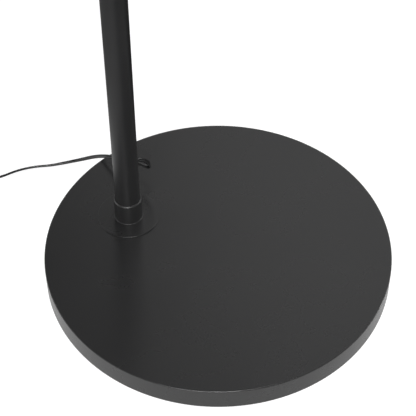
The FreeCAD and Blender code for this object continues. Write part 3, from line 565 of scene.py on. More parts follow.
@dataclass
class Studio:
    """Camera, lamps, floor and walls of the picture.

    Ends are where a level of light starts and stops changing.
    """

    position: Triple = (0.33408, -0.69958, 0.94357)
    turned_left: float = 26.16
    tipped_down: float = 48.27
    rolled: float = -0.35
    lens: float = 118.34
    sensor: float = 36.0
    seen_range: Pair = (0.05, 60.0)
    floor_side: float = 60.0
    room_light: float = 0.32
    floor_grey: float = 0.35
    floor_glow: float = 0.82
    mirrored_ends: Pair = (0.17, 0.34)
    mirrored_light: float = 0.5
    right_hand: Triple = (0.857, 0.515, 0.0)
    right_ends: Pair = (-0.12, -0.03)
    far_ends: Pair = (0.0, 0.1)
    outer_ends: Pair = (0.19, 0.22)
    wall_heights: Triple = (0.25, 0.72, 1.0)
    wall_lights: Triple = (1.0, 0.74, 0.3)
    bright_side: Triple = (0.7076, 0.6597, -0.2524)
    bright_ends: Pair = (-0.08, -0.05)
    behind_camera: Triple = (0.431, -0.902, 0.0)
    behind_ends: Pair = (-0.25, 0.15)
    behind_light: float = 0.12
    soft_boxes: tuple[SoftBox, ...] = (
        SoftBox("soft_box_front", (0.4, -2.0, 1.3), (-0.05, 0.0, 0.05), side=0.7, power=20.0),
        SoftBox("soft_box_right", (1.42, 1.02, 0.17), (-0.08, 0.03, 0.06), side=0.3, power=7.0),
        SoftBox("small_box_behind", (0.62, -1.17, 1.2), (-0.0889, 0.0, 0.045), side=0.12, power=9.0),
        SoftBox("soft_box_left", (-2.1, -0.9, 0.9), (-0.09, 0.0, 0.4), side=1.2, power=11.0))
    pool_spot: Triple = (0.07, 0.06, 2.3)
    pool_power: float = 108.0
    pool_cone: float = 14.0
    pool_blend: float = 0.35
    pool_radius: float = 0.22

    def build(self) -> None:
        """Set up the whole studio."""
        bpy.context.scene.view_settings.view_transform = "Standard"
        self.add_camera()
        self.add_floor()
        self.light_world()
        self.add_lamps()

    def add_camera(self) -> None:
        """Stand the camera where the picture was taken from."""
        angles = (self.turned_left, self.tipped_down, self.rolled)
        left, down, roll = (math.radians(angle) for angle in angles)
        flat = math.cos(down)
        ahead = Vector((-math.sin(left) * flat, math.cos(left) * flat, -math.sin(down)))
        level = Vector((math.cos(left), math.sin(left), 0.0))
        right = level * math.cos(roll) + level.cross(ahead) * math.sin(roll)
        stand = Matrix((right, right.cross(ahead), -ahead)).transposed().to_4x4()
        stand.translation = self.position
        data = bpy.data.cameras.new("picture_camera")
        data.lens = self.lens
        data.sensor_width = self.sensor
        data.clip_start, data.clip_end = self.seen_range
        camera = put("picture_camera", data)
        camera.matrix_world = stand
        bpy.context.scene.camera = camera

    def add_floor(self) -> None:
        """Lay the paper floor."""
        shape = bmesh.new()
        bmesh.ops.create_grid(shape, x_segments=1, y_segments=1, size=self.floor_side / 2)
        data = bpy.data.meshes.new("studio_floor")
        shape.to_mesh(data)
        shape.free()
        data.materials.append(self.paper())
        put("studio_floor", data)

    def paper(self) -> bpy.types.Material:
        """Paper that is white to the eye and keeps its soft shadow.

        Mirrors see a painted pool of light only round the base, and none on the right where it is far or
        outside: there the paper's colour is painted darker for mirror rays, as painted shade.

        Returns:
            The material.
        """
        made = bpy.data.materials.new("studio_paper")
        nodes = Nodes(made)
        spots = nodes.spots("Object")
        away = nodes.away(spots)
        further = (-self.right_hand[1], self.right_hand[0], 0.0)
        right = nodes.between(nodes.toward(spots, self.right_hand), self.right_ends, (0.0, -1.0))
        far = nodes.between(nodes.toward(spots, further), self.far_ends, (0.0, 1.0))
        outer = nodes.between(away, self.outer_ends, (0.0, 1.0))
        # painted shade: for mirror rays the paper's colour and glow are darker on the right, where it is
        # far or outside
        dimmed = nodes.join("MULTIPLY", right, nodes.join("MAXIMUM", far, outer))
        mirror = nodes.mirror_rays()
        lit = nodes.join("MULTIPLY_ADD", dimmed, mirror, 1.0)
        # painted pool of light: a glow round the base that only mirrors see
        pool = nodes.between(away, self.mirrored_ends, (self.mirrored_light, 0.0))
        direct = nodes.join("MULTIPLY", nodes.rays("Is Camera Ray"), self.floor_glow)
        mirrored = nodes.join("MULTIPLY", nodes.join("MULTIPLY", mirror, pool), lit)
        shader = nodes.tree.nodes["Principled BSDF"]
        nodes.fill(shader, {"Roughness": 1.0, "Specular IOR Level": 0.0,
                            "Base Color": nodes.join("MULTIPLY", lit, self.floor_grey)})
        glow = nodes.add("Emission", {"Strength": nodes.join("ADD", direct, mirrored)})
        both = nodes.add("AddShader", {0: shader.outputs[0], 1: glow.outputs[0]})
        nodes.fill(nodes.tree.nodes["Material Output"], {"Surface": both.outputs[0]})
        return made

    def light_world(self) -> None:
        """Surround the lamp with light: white to the eye, and in mirrors white low down and dim on top."""
        world = bpy.data.worlds.new("studio_walls")
        bpy.context.scene.world = world
        nodes = Nodes(world)
        spots = nodes.spots("Generated")
        height = nodes.add("SeparateXYZ", {0: spots}).outputs["Z"]
        low, high, top = self.wall_heights
        near, raised, overhead = self.wall_lights
        climb = nodes.between(height, (low, high), (near, raised))
        seen = nodes.join("ADD", climb, nodes.between(height, (high, top), (0.0, overhead - raised)))
        lifted = nodes.between(height, (low, high), (0.0, 1.0))
        for way, ends, levels in ((self.bright_side, self.bright_ends, (-1.0, 0.0)),
                                  (self.behind_camera, self.behind_ends, (0.0, self.behind_light - 1))):
            dimmed = nodes.between(nodes.toward(spots, way), ends, levels)
            seen = nodes.join("MULTIPLY", seen, nodes.join("MULTIPLY_ADD", dimmed, lifted, 1.0))
        mirror = nodes.mirror_rays()
        direct = nodes.rays("Is Camera Ray")
        other = nodes.join("SUBTRACT", 1.0, nodes.join("MAXIMUM", mirror, direct))
        plain = nodes.join("MULTIPLY_ADD", other, self.room_light, direct)
        nodes.fill(nodes.tree.nodes["Background"], {
            "Color": (1.0, 1.0, 1.0, 1.0), "Strength": nodes.join("MULTIPLY_ADD", mirror, seen, plain)})

    def add_lamps(self) -> None:
        """Hang the soft boxes, and a spot whose pool of light ends across the base's left part."""
        for box in self.soft_boxes:
            data = bpy.data.lights.new(box.name, "AREA")
            data.shape = "SQUARE"
            data.size = box.side
            data.energy = box.power
            self.aim_lamp(data, Vector(box.spot), Vector(box.aim))
        data = bpy.data.lights.new("pool_light", "SPOT")
        data.energy = self.pool_power
        data.spot_size = math.radians(self.pool_cone)
        data.spot_blend = self.pool_blend
        data.shadow_soft_size = self.pool_radius
        self.aim_lamp(data, Vector(self.pool_spot), Vector((*self.pool_spot[:2], 0.0)))

    @staticmethod
    def aim_lamp(data: bpy.types.Light, spot: Vector, aim: Vector) -> None:
        """Hang a lamp and point it.

        Args:
            data: The lamp.
            spot: Where it hangs.
            aim: What it shines at.
        """
        lamp = put(data.name, data)
        lamp.visible_camera = False
        turn = (spot - aim).to_track_quat("Z", "Y").to_matrix().to_4x4()
        lamp.matrix_world = Matrix.Translation(spot) @ turn


# Power supply


@dataclass
class PowerSupply:
    """Plug-in power supply at the end of the lead: a two-part case, a ribbed strain relief, blades.

    A rounding is its reach and how far in its middle lies. A rib is its width, height and corner, and
    rises from its root over its shoulder to its top, which is drawn in.
    """

    entry: Vector
    along: Vector
    length: float = 0.062
    width: float = 0.038
    height: float = 0.026
    corner: float = 0.003
    foot_rounding: Pair = (0.0009, 0.0003)
    top_rounding: Pair = (0.0012, 0.00035)
    seam: float = 0.0004
    panel_margin: float = 0.004
    panel_slope: float = 0.0003
    panel_depth: float = 0.0004
    ribs: int = 6
    rib: Triple = (0.0012, 0.012, 0.0005)
    rib_start: float = 0.008
    rib_pitch: float = 0.0028
    rib_lift: float = 0.0065
    rib_root: float = 0.0006
    rib_shoulder: float = 0.0002
    rib_rise: float = 0.0004
    rib_top: float = 0.8
    relief_length: float = 0.03
    relief_root: Pair = (0.009, 0.006)
    relief_tip: Pair = (0.0044, 0.0031)
    relief_below: float = 0.0021
    relief_corner: float = 0.002
    tip_rounding: Pair = (0.01, 0.0003)
    rings: int = 6
    rings_start: float = 0.04
    rings_span: float = 0.86
    ring_course: Triple = (0.55, 0.6, 0.95)
    ring_depth: float = 0.0006

    def build(self) -> list[bpy.types.Object]:
        """Make the case and the relief, and dress the blades.

        Returns:
            Every piece of the power supply.
        """
        turned = Matrix.Rotation(math.atan2(self.along.y, self.along.x), 4, "Z")
        stand = Matrix.Translation((self.entry.x, self.entry.y, 0.0)) @ turned
        blades = Dresser.dress("adapter_blades", BLADE_BRASS)
        return [self.make_relief(stand), self.make_case(stand), blades]

    def make_case(self, stand: Matrix) -> bpy.types.Object:
        """Raise the case from its plan, with soft edges, a seam, a bare panel on top and grip ribs.

        Args:
            stand: The place of the coil's end on the floor.

        Returns:
            The case.
        """
        width = self.width - 2 * self.rib_rise
        middle = self.relief_length + self.length / 2

        def level(height: float, inset: float) -> Matrix:
            """The plan's place at a height, drawn in by an inset."""
            shrink = Matrix.Diagonal((1 - 2 * inset / self.length, 1 - 2 * inset / width, 1.0, 1.0))
            return Matrix.Translation((middle, 0.0, height)) @ shrink

        foot, foot_in = self.foot_rounding
        top, top_in = self.top_rounding
        below, above = self.height / 2 - self.seam, self.height / 2 + self.seam
        stages = ((0.0, foot), (foot_in, foot_in), (foot, 0.0), (below, 0.0), (below, self.seam),
                  (above, self.seam), (above, 0.0), (self.height - top, 0.0),
                  (self.height - top_in, top_in), (self.height, top))
        case = Shape("supply_case")
        plan = case.plate(self.length, width, self.corner)
        lid = case.carry(plan, [level(*stage) for stage in stages])
        for inset, drop in ((self.panel_margin, 0.0), (self.panel_slope, self.panel_depth)):
            bmesh.ops.inset_region(case.mesh, faces=[lid], thickness=inset, depth=-drop)
        for number in range(self.ribs):
            for side in (-1, 1):
                self.add_rib(case, self.relief_length + self.rib_start + self.rib_pitch * number, side)
        case.close().place(stand)
        return case.finish(MOULDED_BLACK, "stand", ["adapter_housing"], "adapter_black")

    def add_rib(self, case: Shape, near: float, side: int) -> None:
        """Raise a grip rib from one side of the case.

        Args:
            case: The case.
            near: How far the rib is from the relief's tip.
            side: Which side it is on, -1 or 1.
        """
        flat = Matrix.Rotation(-side * math.pi / 2, 4, "X")
        places = []
        stages = ((-self.rib_root, 1.0), (self.rib_shoulder, 1.0), (self.rib_rise, self.rib_top))
        for out, share in stages:
            across = side * (self.width / 2 - self.rib_rise + out)
            spot = Matrix.Translation((near, across, self.height / 2 + self.rib_lift))
            places.append(spot @ flat @ Matrix.Diagonal((share, share, 1.0, 1.0)))
        case.carry(case.plate(*self.rib), places)

    def make_relief(self, stand: Matrix) -> bpy.types.Object:
        """Draw the strain relief from its tip to the case, thick and thin by turns.

        Args:
            stand: The place of the coil's end on the floor.

        Returns:
            The relief.
        """
        root_width, root_rise = self.relief_root
        tip_width, tip_rise = self.relief_tip

        def slice_at(share: float, inset: float) -> Matrix:
            """The section's place, drawn in by an inset.

            Args:
                share: How far it is from the tip, as a share of the way to the case.
                inset: How far it is drawn in.

            Returns:
                The place.
            """
            wide = tip_width + (root_width - tip_width) * share - 2 * inset
            rise = tip_rise + (root_rise - tip_rise) * share - inset
            drop = self.relief_below - inset
            middle = (share * self.relief_length, 0.0, self.entry.z + (rise - drop) / 2)
            sizes = Matrix.Diagonal((1.0, wide / root_width, (rise + drop) / root_width, 1.0))
            return Matrix.Translation(middle) @ sizes @ Matrix.Rotation(math.pi / 2, 4, "Y")

        tip_end, tip_inset = self.tip_rounding
        stages = [(0.0, tip_inset), (tip_end, 0.0)]
        step = self.rings_span / self.rings
        for ring in range(self.rings):
            start = self.rings_start + step * ring
            dip, floor, rise = (start + step * share for share in self.ring_course)
            stages += [(dip, 0.0), (floor, self.ring_depth), (rise, self.ring_depth)]
            stages.append((start + step, 0.0))
        relief = Shape("supply_relief")
        section = relief.plate(root_width, root_width, self.relief_corner)
        relief.carry(section, [slice_at(*stage) for stage in (*stages, (1.0, 0.0))])
        relief.close().place(stand)
        return relief.finish(BUSHING_RUBBER, "stand", ["adapter_relief"], "black_rubber")


# Lead


@dataclass
class SupplyLead:
    """Flat twin lead: from the pole's bushing over the base to a coil on the floor."""

    width: float = 0.0038
    thickness: float = 0.002
    length: float = 1.437
    turns: float = 8.25
    points_in_turn: int = 16
    coil_diameter: float = 0.0456
    gap: float = 0.00045
    climb_turns: float = 0.25
    run_in: float = 0.023
    core_points: int = 10
    cleft: float = 38.0
    line_steps: int = 5
    route: tuple[Triple, ...] = (
        (-0.0889, 0.017, 0.074), (-0.0885, 0.0225, 0.0732), (-0.0853, 0.0285, 0.067),
        (-0.0836, 0.034, 0.0585), (-0.0883, 0.039, 0.0466), (-0.0985, 0.0415, 0.0458),
        (-0.112, 0.043, 0.0404), (-0.1275, 0.046, 0.0362), (-0.1426, 0.051, 0.0263),
        (-0.1562, 0.0545, 0.0158), (-0.1702, 0.0536, 0.0063), (-0.1832, 0.0477, 0.002),
        (-0.1945, 0.0382, 0.0018), (-0.2075, 0.0304, 0.0018), (-0.2195, 0.0194, 0.0018),
        (-0.2285, 0.006, 0.0018), (-0.238, -0.004, 0.0019), (-0.2475, -0.0145, 0.0019))
    lean: tuple[float, ...] = (
        0, -20, -30, -10, 5, 10, 15, 15, 0, 0, -4, -16, -32, -37, -37, -37, -18)

    @property
    def pitch(self) -> float:
        """How far a turn lies inside the one before it."""
        return (self.thickness + self.gap) / (1 - self.climb_turns)

    def spot(self, turn: float, share: float = 1.0) -> Vector:
        """A point of the coil after a number of turns.

        Args:
            turn: How many turns.
            share: What its distance from the coil's centre is multiplied by.

        Returns:
            The point.
        """
        start = Vector(self.route[-1])
        along = (start - Vector(self.route[-2])).normalized()
        across = Vector((along.y, -along.x, 0.0))
        outer = self.coil_diameter / 2 + self.pitch * self.turns / 4
        centre = start + along * self.width + across * outer
        angle = math.atan2(-across.y, -across.x) - math.tau * turn
        radius = (outer - self.pitch * min(turn, self.turns - turn)) * share
        climbed = min(max((turn - self.turns / 2) / self.climb_turns + 0.5, 0.0), 1.0)
        level = Vector((math.cos(angle), math.sin(angle), 0.0)) * radius
        return centre + level + Vector((0.0, 0.0, climbed * (self.width + self.gap)))

    def leaving(self) -> Vector:
        """The direction in which the lead leaves the coil."""
        back = self.spot(self.turns) - self.spot(self.turns - 0.5)
        return Vector((back.y, -back.x, 0.0)).normalized()

    def winding(self) -> list[Vector]:
        """Points of the put-away coil: a layer that spirals in and one above it that spirals out.

        Returns:
            The control points after the free stretch, up to the power supply.
        """
        wider = 1 / math.cos(math.pi / self.points_in_turn)
        steps = round(self.turns * self.points_in_turn)
        points = [self.spot((step + 0.5) / self.points_in_turn, wider) for step in range(steps)]
        return [*points, self.spot(self.turns) + self.leaving() * self.run_in]

    def line(self) -> bpy.types.Object:
        """The lead's middle line as one smooth spline.

        Returns:
            A curve object, not yet a piece.
        """
        points = [*(Vector(point) for point in self.route), *self.winding()]
        data = bpy.data.curves.new("supply_lead_line", "CURVE")
        data.dimensions = "3D"
        data.resolution_u = self.line_steps
        data.twist_mode = "Z_UP"
        spline = data.splines.new("NURBS")
        spline.points.add(len(points) - 1)
        for point, place in zip(spline.points, points):
            point.co = (*place, 1.0)
        for point, degrees in zip(spline.points, self.lean):
            point.tilt = math.radians(degrees)
        spline.order_u = 3
        spline.use_endpoint_u = True
        return put("supply_lead_line", data)

    def section(self) -> bpy.types.Object:
        """Closed section of two cores with a cleft between them, its wide side upright.

        Returns:
            A curve object, not yet a piece.
        """
        data = bpy.data.curves.new("supply_lead_section", "CURVE")
        spline = data.splines.new("POLY")
        core = self.thickness / 2
        apart = self.width / 2 - core
        step = (180 + 2 * self.cleft) / (self.core_points - 1)
        outline = []
        for side, first in ((1, -self.cleft), (-1, 180 - self.cleft)):
            for number in range(self.core_points):
                angle = math.radians(first + step * number)
                outline.append((core * math.cos(angle), side * apart + core * math.sin(angle)))
        spline.points.add(len(outline) - 1)
        for point, (x, y) in zip(spline.points, outline):
            point.co = (x, y, 0.0, 1.0)
        spline.use_cyclic_u = True
        return put("supply_lead_section", data)

    def mesh_of(self, curve: bpy.types.Object, name: str) -> bpy.types.Mesh:
        """The mesh that a curve makes.

        Args:
            curve: The curve.
            name: What the mesh is called.

        Returns:
            The mesh.
        """
        graph = bpy.context.evaluated_depsgraph_get()
        graph.update()
        data = bpy.data.meshes.new_from_object(curve.evaluated_get(graph))
        data.name = name
        return data

    def build(self) -> None:
        """Lay the lead, and make the power supply at its end."""
        curve = self.line()
        bare = self.mesh_of(curve, "supply_lead_middle")
        section = self.section()
        curve.data.bevel_mode = "OBJECT"
        curve.data.bevel_object = section
        curve.data.use_fill_caps = True
        skin = Shape("lead_on_the_floor")
        skin.mesh.from_mesh(self.mesh_of(curve, "supply_lead_skin"))
        for thing in (curve, section):
            bpy.data.objects.remove(thing)
        stood_for = ["supply_lead", "supply_lead_coil"]
        lead = skin.close().finish(LEAD_VINYL, "stand", stood_for, "black_rubber")
        supply = PowerSupply(self.spot(self.turns), self.leaving()).build()


# Base and pole


@dataclass
class RoundBase:
    """Flat round cover, with the pole's socket on it: thin plate, collar and weld."""

    radius: float = 0.1525
    top: float = 0.022
    wall: float = 0.0012
    lift: float = 0.001
    rim: float = 0.0009
    bolt_hole: float = 0.0055
    socket_radius: float = 0.0275
    socket_rounding: float = 0.0003
    collar_radius: float = 0.0125
    collar_height: float = 0.0225
    collar_chamfer: float = 0.0009
    collar_rounding: float = 0.0002
    weld_radius: float = 0.00054
    bore: float = 0.01105

    def build(self) -> None:
        """Make every piece of the base."""
        self.make_cover()
        self.make_plate()
        self.make_collar()
        self.make_weld()

    def make_cover(self) -> None:
        """Turn the cover and round its rim."""
        inside = self.radius - self.wall
        ceiling = self.top - self.wall
        cover = Shape("base_disc").turn([
            (0.0, self.top), (self.radius, self.top), (self.radius, self.lift), (inside, self.lift),
            (inside, ceiling), (0.0, ceiling)], steps=192)
        cover.round_edges(self.rim, flat_edge(self.top), segments=4)
        cover.finish(SATIN_POWDER, "stand", ["base_cover"], "satin_black")

    def make_plate(self) -> None:
        """Turn the socket's thin plate."""
        plate = Shape("socket_plate").turn([
            (self.bolt_hole, self.top), (self.socket_radius, self.top),
            (self.socket_radius, FLANGE_TOP), (self.bore, FLANGE_TOP), (self.bolt_hole, FLANGE_TOP)],
            steps=128)
        plate.round_edges(self.socket_rounding, sharp()).place(at_pole())
        plate.finish(SATIN_POWDER, "stand", ["pole_socket"], "satin_black")

    def make_collar(self) -> None:
        """Turn the collar that the pole stands in."""
        height = FLANGE_TOP + self.collar_height
        collar = Shape("socket_collar").turn([
            (self.bore, FLANGE_TOP), (self.collar_radius, FLANGE_TOP),
            (self.collar_radius, height - self.collar_chamfer),
            (self.collar_radius - self.collar_chamfer, height), (self.bore, height)])
        collar.round_edges(self.collar_rounding, sharp(40), segments=2).place(at_pole())
        collar.finish(SATIN_ENAMEL, "stand", ["pole_socket"], "satin_black")

    def make_weld(self) -> None:
        """Spin the weld at the collar's foot."""
        bead = Shape("socket_weld")
        foot = Matrix.Translation((self.collar_radius, 0.0, FLANGE_TOP))
        bead.loop(self.weld_radius, 12, foot @ Matrix.Rotation(math.pi / 2, 4, "X"))
        bead.spin(96).place(at_pole()).finish(SATIN_ENAMEL, "stand", ["pole_socket"], "satin_black")


@dataclass
class Pole:
    """Three tubes on each other's sleeves, with a neck socket on top and a bushing below.

    The bushing is an outline of (radius, distance from the pole's axis): shank, head and nose.
    """

    radius: float = 0.011
    bore: float = 0.0098
    section: float = 0.375
    seam_chamfer: float = 0.0003
    sleeve: float = 0.05
    sleeve_bore: float = 0.00715
    sleeve_play: float = 0.00005
    cone_band: float = 0.003
    cone_height: float = 0.024
    cone_rounding: float = 0.0008
    mouth: float = 0.008
    neck_hole: float = 0.0035
    neck_hole_depth: float = 0.022
    exit_height: float = 0.074
    bushing: tuple[Pair, ...] = (
        (0.0, 0.0084), (0.003, 0.0084), (0.003, 0.0098), (0.0045, 0.0106), (0.0045, 0.0122),
        (0.0028, 0.0122), (0.0026, 0.017), (0.0, 0.017))
    bushing_rounding: float = 0.0004

    def build(self) -> None:
        """Make the tubes and the bushing."""
        for index, name in enumerate(("lower", "middle")):
            self.make_tube(name, FLANGE_TOP + index * self.section)
        self.make_upper(FLANGE_TOP + 2 * self.section)
        self.make_bushing()

    def make_tube(self, name: str, foot: float) -> None:
        """Turn a tube with its sleeve standing in its upper end.

        Args:
            name: Which tube it is.
            foot: Its lower end.
        """
        seam = foot + self.section
        low, high = seam - self.sleeve / 2, seam + self.sleeve / 2
        edge = self.radius - self.seam_chamfer
        sleeve = self.bore - self.sleeve_play
        tube = Shape(f"{name}_tube").turn([
            (self.bore, foot), (edge, foot), (self.radius, foot + self.seam_chamfer),
            (self.radius, seam - self.seam_chamfer), (edge, seam), (sleeve, seam), (sleeve, high),
            (self.sleeve_bore, high), (self.sleeve_bore, low), (self.bore, low)])
        tube.place(at_pole()).finish(SATIN_ENAMEL, "stand", [f"pole_{name}"], "satin_black")

    def make_upper(self, foot: float) -> None:
        """Turn the upper tube with the socket that holds the neck.

        Args:
            foot: Its lower end.
        """
        top = foot + self.section
        mouth = top + self.cone_height
        floor = top - self.neck_hole_depth
        tube = Shape("upper_tube").turn([
            (self.bore, foot), (self.radius - self.seam_chamfer, foot),
            (self.radius, foot + self.seam_chamfer), (self.radius, top + self.cone_band),
            (self.mouth, mouth), (self.neck_hole, mouth), (self.neck_hole, floor), (self.bore, floor)])
        tube.round_edges(self.cone_rounding, lambda edge: sharp(8)(edge) and all(
            end.co.z > top for end in edge.verts))
        tube.place(at_pole()).finish(SATIN_ENAMEL, "stand", ["pole_upper"], "satin_black")

    def make_bushing(self) -> None:
        """Turn the rubber bushing that guards the lead's way out."""
        bushing = Shape("lead_bushing").turn(self.bushing, steps=48)
        bushing.round_edges(self.bushing_rounding, sharp(40))
        bushing.place(at_pole(self.exit_height) @ Matrix.Rotation(-math.pi / 2, 4, "X"))
        bushing.finish(BUSHING_RUBBER, "stand", ["cord_bushing"], "black_rubber")


# Neck


@dataclass
class Gooseneck:
    """Ribbed bendable neck, drawn as one even quarter bend of hoses that each cross one hinge."""

    start_height: float = 1.1715
    half_link: float = 0.0255
    links: int = 8
    radius: float = 0.00625
    groove: float = 0.0008
    ribs_in_hose: int = 15
    sides: int = 32
    rib: tuple[float, ...] = (1.0, 0.55, 0.0, 0.0, 0.55)
    ferrule_radius: float = 0.008
    ferrule_length: float = 0.018
    ferrule_start: float = 0.025
    ferrule_rounding: float = 0.0007
    tail_radius: float = 0.004
    tail_length: float = 0.011
    bend_reach: float = 0.025

    @property
    def kink(self) -> float:
        """The turn at each hinge at rest."""
        return math.radians(90 / (self.links + 1))

    @property
    def bend_radius(self) -> float:
        """Radius of the arc that touches every link at its middle."""
        return self.half_link / math.tan(self.kink / 2)

    def hinge(self, index: int) -> Vector:
        """The place of a hinge at rest.

        Args:
            index: The hinge's number.

        Returns:
            The place.
        """
        spot = Vector((POLE_X, 0.0, self.start_height + self.half_link))
        for step in range(1, index + 1):
            angle = self.kink * step
            spot += Vector((math.sin(angle), 0.0, math.cos(angle))) * self.half_link * 2
        return spot

    def body(self, index: int) -> str:
        """The body below a hinge.

        Args:
            index: The hinge's number.

        Returns:
            The body's name.
        """
        if index == 0:
            return "stand"
        return "head" if index > self.links else f"neck_link_{index}"

    def build(self) -> None:
        """Make the hoses and the ferrule at the head."""
        for index in range(self.links + 1):
            self.make_hose(index)
        self.make_ferrule()

    def make_hose(self, index: int) -> None:
        """Spin the hose that crosses one hinge, and pull its grooves in.

        Args:
            index: The hinge's number.
        """
        node = "neck_root" if index == 0 else f"neck_link_{index}"
        centre = Vector((POLE_X + self.bend_radius, 0.0, self.start_height))

        def on_bend(turns: float) -> Matrix:
            """The place on the neck's bend after so many kinks."""
            turned = Matrix.Rotation(self.kink * turns, 4, "Y")
            return Matrix.Translation(centre) @ turned @ Matrix.Translation((-self.bend_radius, 0.0, 0.0))

        hose = Shape(f"neck_hose_{index + 1}")
        hose.loop(self.radius, self.sides, on_bend(index))
        rings = self.ribs_in_hose * len(self.rib)
        bmesh.ops.spin(hose.mesh, geom=[*hose.mesh.verts, *hose.mesh.edges], cent=centre,
                       axis=(0, 1, 0), angle=self.kink, steps=rings, use_merge=False)
        for corner in hose.mesh.verts:
            angle = math.atan2(corner.co.z - centre.z, centre.x - corner.co.x) - self.kink * index
            number = round(angle / self.kink * rings)
            middle = on_bend(index + number / rings).translation
            depth = self.rib[number % len(self.rib)] * self.groove
            corner.co = middle + (corner.co - middle) * (1 - depth / self.radius)
        bmesh.ops.holes_fill(hose.mesh, edges=hose.mesh.edges, sides=0)
        piece = hose.close().finish(NECK_ENAMEL, None, [node], "neck_black")
        if index == self.links:
            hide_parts("neck_end")
        here = self.hinge(index)
        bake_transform(piece)

    def make_ferrule(self) -> None:
        """Turn the sleeve that holds the neck to the head."""
        tail_end = self.ferrule_length + self.tail_length
        ferrule = Shape("neck_ferrule").turn([
            (0.0, 0.0), (self.ferrule_radius, 0.0), (self.ferrule_radius, self.ferrule_length),
            (self.tail_radius, self.ferrule_length), (self.tail_radius, tail_end), (0.0, tail_end)],
            steps=64)
        ferrule.round_edges(self.ferrule_rounding, lambda edge: sharp(40)(edge) and all(
            math.hypot(end.co.x, end.co.y) > self.ferrule_radius - TINY for end in edge.verts))
        stand = Matrix.Translation(self.hinge(self.links) + Vector((self.ferrule_start, 0.0, 0.0)))
        ferrule.place(stand @ Matrix.Rotation(math.pi / 2, 4, "Y"))
        ferrule.finish(SATIN_ENAMEL, "head", ["neck_end"], "neck_black")


# Light head


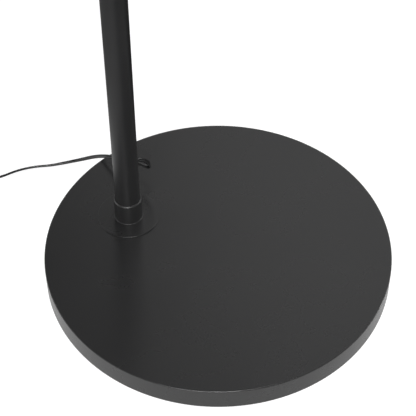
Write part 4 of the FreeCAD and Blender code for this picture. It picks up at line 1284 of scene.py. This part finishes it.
@dataclass
class LightHead:
    """Slim head: housing, opal tray, push button and two small screws.

    The screw is an outline of (radius, height over the head's lower face).
    """

    rear: float = 0.22007
    middle: float = 1.46297
    length: float = 0.23
    width: float = 0.062
    height: float = 0.018
    wall: float = 0.0018
    solid_rear: float = 0.014
    corner: float = 0.012
    top_rounding: float = 0.0012
    lower_rounding: float = 0.0004
    recess: float = 0.001
    tray_gap: float = 0.0003
    tray_floor: float = 0.002
    tray_wall: float = 0.0012
    tray_rounding: float = 0.0005
    button_offset: float = 0.046
    button_radius: float = 0.005
    button_fit: float = 0.00008
    button_foot: float = 0.0074
    button_proud: float = 0.0012
    button_rounding: float = 0.0003
    stem_radius: float = 0.002
    stem_foot: float = 0.0049
    dish: tuple[Pair, ...] = ((0.0042, 0.0), (0.0028, -0.0004), (0.0, -0.0005))
    hole_chamfer: float = 0.0003
    tail_hole: float = 0.00405
    tail_depth: float = 0.0115
    screws_along: float = 0.0075
    screws_across: Pair = (-0.02, 0.02)
    screw: tuple[Pair, ...] = (
        (0.0, 0.0), (0.0009, 0.0), (0.0012, -0.0006), (0.0021, -0.0006), (0.0024, 0.0),
        (0.0024, 0.0016), (0.0, 0.0016))
    screw_rounding: float = 0.0002

    def build(self) -> None:
        """Make every piece of the head."""
        self.make_housing()
        self.make_tray()
        self.make_button()
        for number, across in enumerate(self.screws_across):
            self.make_screw(number, across)

    def seat(self, along: float = 0.0, across: float = 0.0, up: float = 0.0) -> Matrix:
        """A place on the head, measured from the middle of its rear face."""
        return Matrix.Translation((self.rear + along, across, self.middle + up))

    def make_housing(self) -> None:
        """Shape the housing: soft edges, hollow from below, with its two holes."""
        half = self.height / 2
        side = self.width / 2
        housing = Shape("light_housing").block((0.0, -side, -half), (self.length, side, half))
        housing.round_edges(self.corner, upright, segments=10).close()
        housing.round_edges(self.top_rounding, flat_edge(half), segments=4)
        housing.round_edges(self.lower_rounding, flat_edge(-half), segments=2)
        under, top, rear = (housing.side(way) for way in ((0, 0, -1), (0, 0, 1), (-1, 0, 0)))
        roof = self.hollow(housing, under)
        self.drill_button_hole(housing, top, roof)
        self.drill_tail_hole(housing, rear)
        housing.close().place(self.seat())
        housing.finish(SATIN_POWDER, "head", ["head_housing"], "head_black")

    def hollow(self, housing: Shape, under: Face) -> Face:
        """Hollow the housing from below.

        Args:
            housing: The housing, still solid.
            under: Its lower face.

        Returns:
            The ceiling of the hollow.
        """
        far = self.length - self.wall
        width = self.width - 2 * self.wall
        mouth = housing.plate(far - self.solid_rear, width, self.corner - self.wall)
        middle = (far + self.solid_rear) / 2
        levels = (-self.height / 2, self.height / 2 - self.wall)
        roof = housing.carry(mouth, [Matrix.Translation((middle, 0.0, level)) for level in levels])
        rim = list(mouth.edges)
        bmesh.ops.delete(housing.mesh, geom=[mouth], context="FACES_ONLY")
        housing.open_to(under, rim)
        return roof

    def drill_button_hole(self, housing: Shape, top: Face, roof: Face) -> None:
        """Drill the chamfered hole for the button.

        Args:
            housing: The housing, already hollow.
            top: Its upper face.
            roof: The ceiling of the hollow.
        """
        radius = self.button_radius + self.button_fit
        down = []
        for sunk, wider in ((0.0, self.hole_chamfer), (self.hole_chamfer, 0.0), (self.wall, 0.0)):
            share = 1 + wider / radius
            spot = Matrix.Translation((self.button_offset, 0.0, self.height / 2 - sunk))
            down.append(spot @ Matrix.Diagonal((share, share, 1.0, 1.0)))
        rim = housing.loop(radius, 48, down[0])
        housing.open_to(top, rim).open_to(roof, housing.draw_in(rim, down))

    def drill_tail_hole(self, housing: Shape, rear: Face) -> None:
        """Drill the blind hole for the neck's tail.

        Args:
            housing: The housing.
            rear: Its rear face.
        """
        inward = [Matrix.Translation((depth, 0.0, 0.0)) @ Matrix.Rotation(math.pi / 2, 4, "Y")
                  for depth in (0.0, self.tail_depth)]
        rim = housing.loop(self.tail_hole, 32, inward[0])
        housing.open_to(rear, rim)
        bmesh.ops.edgeloop_fill(housing.mesh, edges=housing.draw_in(rim, inward))

    def make_tray(self) -> None:
        """Shape the opal tray: its floor shows below, its walls stand against the ceiling."""
        inset = self.wall + self.tray_gap
        low = self.recess - self.height / 2
        high = self.height / 2 - self.wall
        side = self.width / 2 - inset
        near = self.solid_rear + self.tray_gap
        tray = Shape("opal_tray").block((near, -side, low), (self.length - inset, side, high))
        tray.round_edges(self.corner - inset, upright, segments=10).close()
        tray.round_edges(self.tray_rounding, flat_edge(low))
        top = tray.side((0, 0, 1))
        bmesh.ops.inset_region(tray.mesh, faces=[top], thickness=self.tray_wall, depth=0.0)
        tray.carry(top, [Matrix(), Matrix.Translation((0.0, 0.0, low + self.tray_floor - high))])
        tray.close().place(self.seat()).finish(OPAL_PLASTIC, "head", ["diffuser"], "opal_plastic")

    def make_button(self) -> None:
        """Turn the push button with its stem and its dished top."""
        top = self.height / 2 + self.button_proud
        button = Shape("round_button").turn([
            (0.0, self.stem_foot), (self.stem_radius, self.stem_foot),
            (self.stem_radius, self.button_foot), (self.button_radius, self.button_foot),
            (self.button_radius, top),
            *((radius, top + sunk) for radius, sunk in self.dish)], steps=64)
        button.round_edges(self.button_rounding, sharp()).place(self.seat(self.button_offset))
        button.finish(BUTTON_PLASTIC, "power_button", ["power_button"], "button_black")

    def make_screw(self, number: int, across: float) -> None:
        """Turn a small pan-head screw in the solid rear end, from below.

        Args:
            number: Which screw it is.
            across: Its place across the head.
        """
        screw = Shape(f"rear_screw_{number + 1}").turn(self.screw, steps=32)
        screw.round_edges(self.screw_rounding, sharp(40), segments=2)
        screw.place(self.seat(self.screws_along, across, -self.height / 2)).finish(ZINC_STEEL, "head")


# Nodes that stay as they are


class Dresser:
    """Gives the CAD nodes that stay in the scene their finishes."""

    finishes: dict[str, Finish] = {
        "base_ballast": CEMENT, "base_pad": PAD_FOAM, "base_bolt": ZINC_STEEL, "pole_lead": LEAD_VINYL,
        "heat_spreader": SPREADER_ALUMINIUM, "light_board": BOARD_WHITE, "light_chips": CHIP_YELLOW,
        "driver": BOARD_WHITE, "button_switch": MOULDED_BLACK}

    @staticmethod
    def dress(node: str, finish: Finish) -> bpy.types.Object:
        """Give a node a finish.

        Args:
            node: The node's name.
            finish: The finish.

        Returns:
            The node's object.
        """
        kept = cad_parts[node]
        kept.data.materials.clear()
        kept.data.materials.append(finish.material())
        log.info("%s keeps its solid, in %s", node, finish.name)
        return kept

    def build(self) -> None:
        """Dress every node that stays."""
        for node, finish in self.finishes.items():
            self.dress(node, finish)


def main() -> None:
    """Build the lamp and its studio."""
    logging.basicConfig(level=logging.INFO, format="%(message)s")
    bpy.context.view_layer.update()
    for part in (Studio(), SupplyLead(), RoundBase(), Pole(), Gooseneck(), LightHead(), Dresser()):
        log.info("building %s", type(part).__name__)
        part.build()


if __name__ == "__main__":
    main()
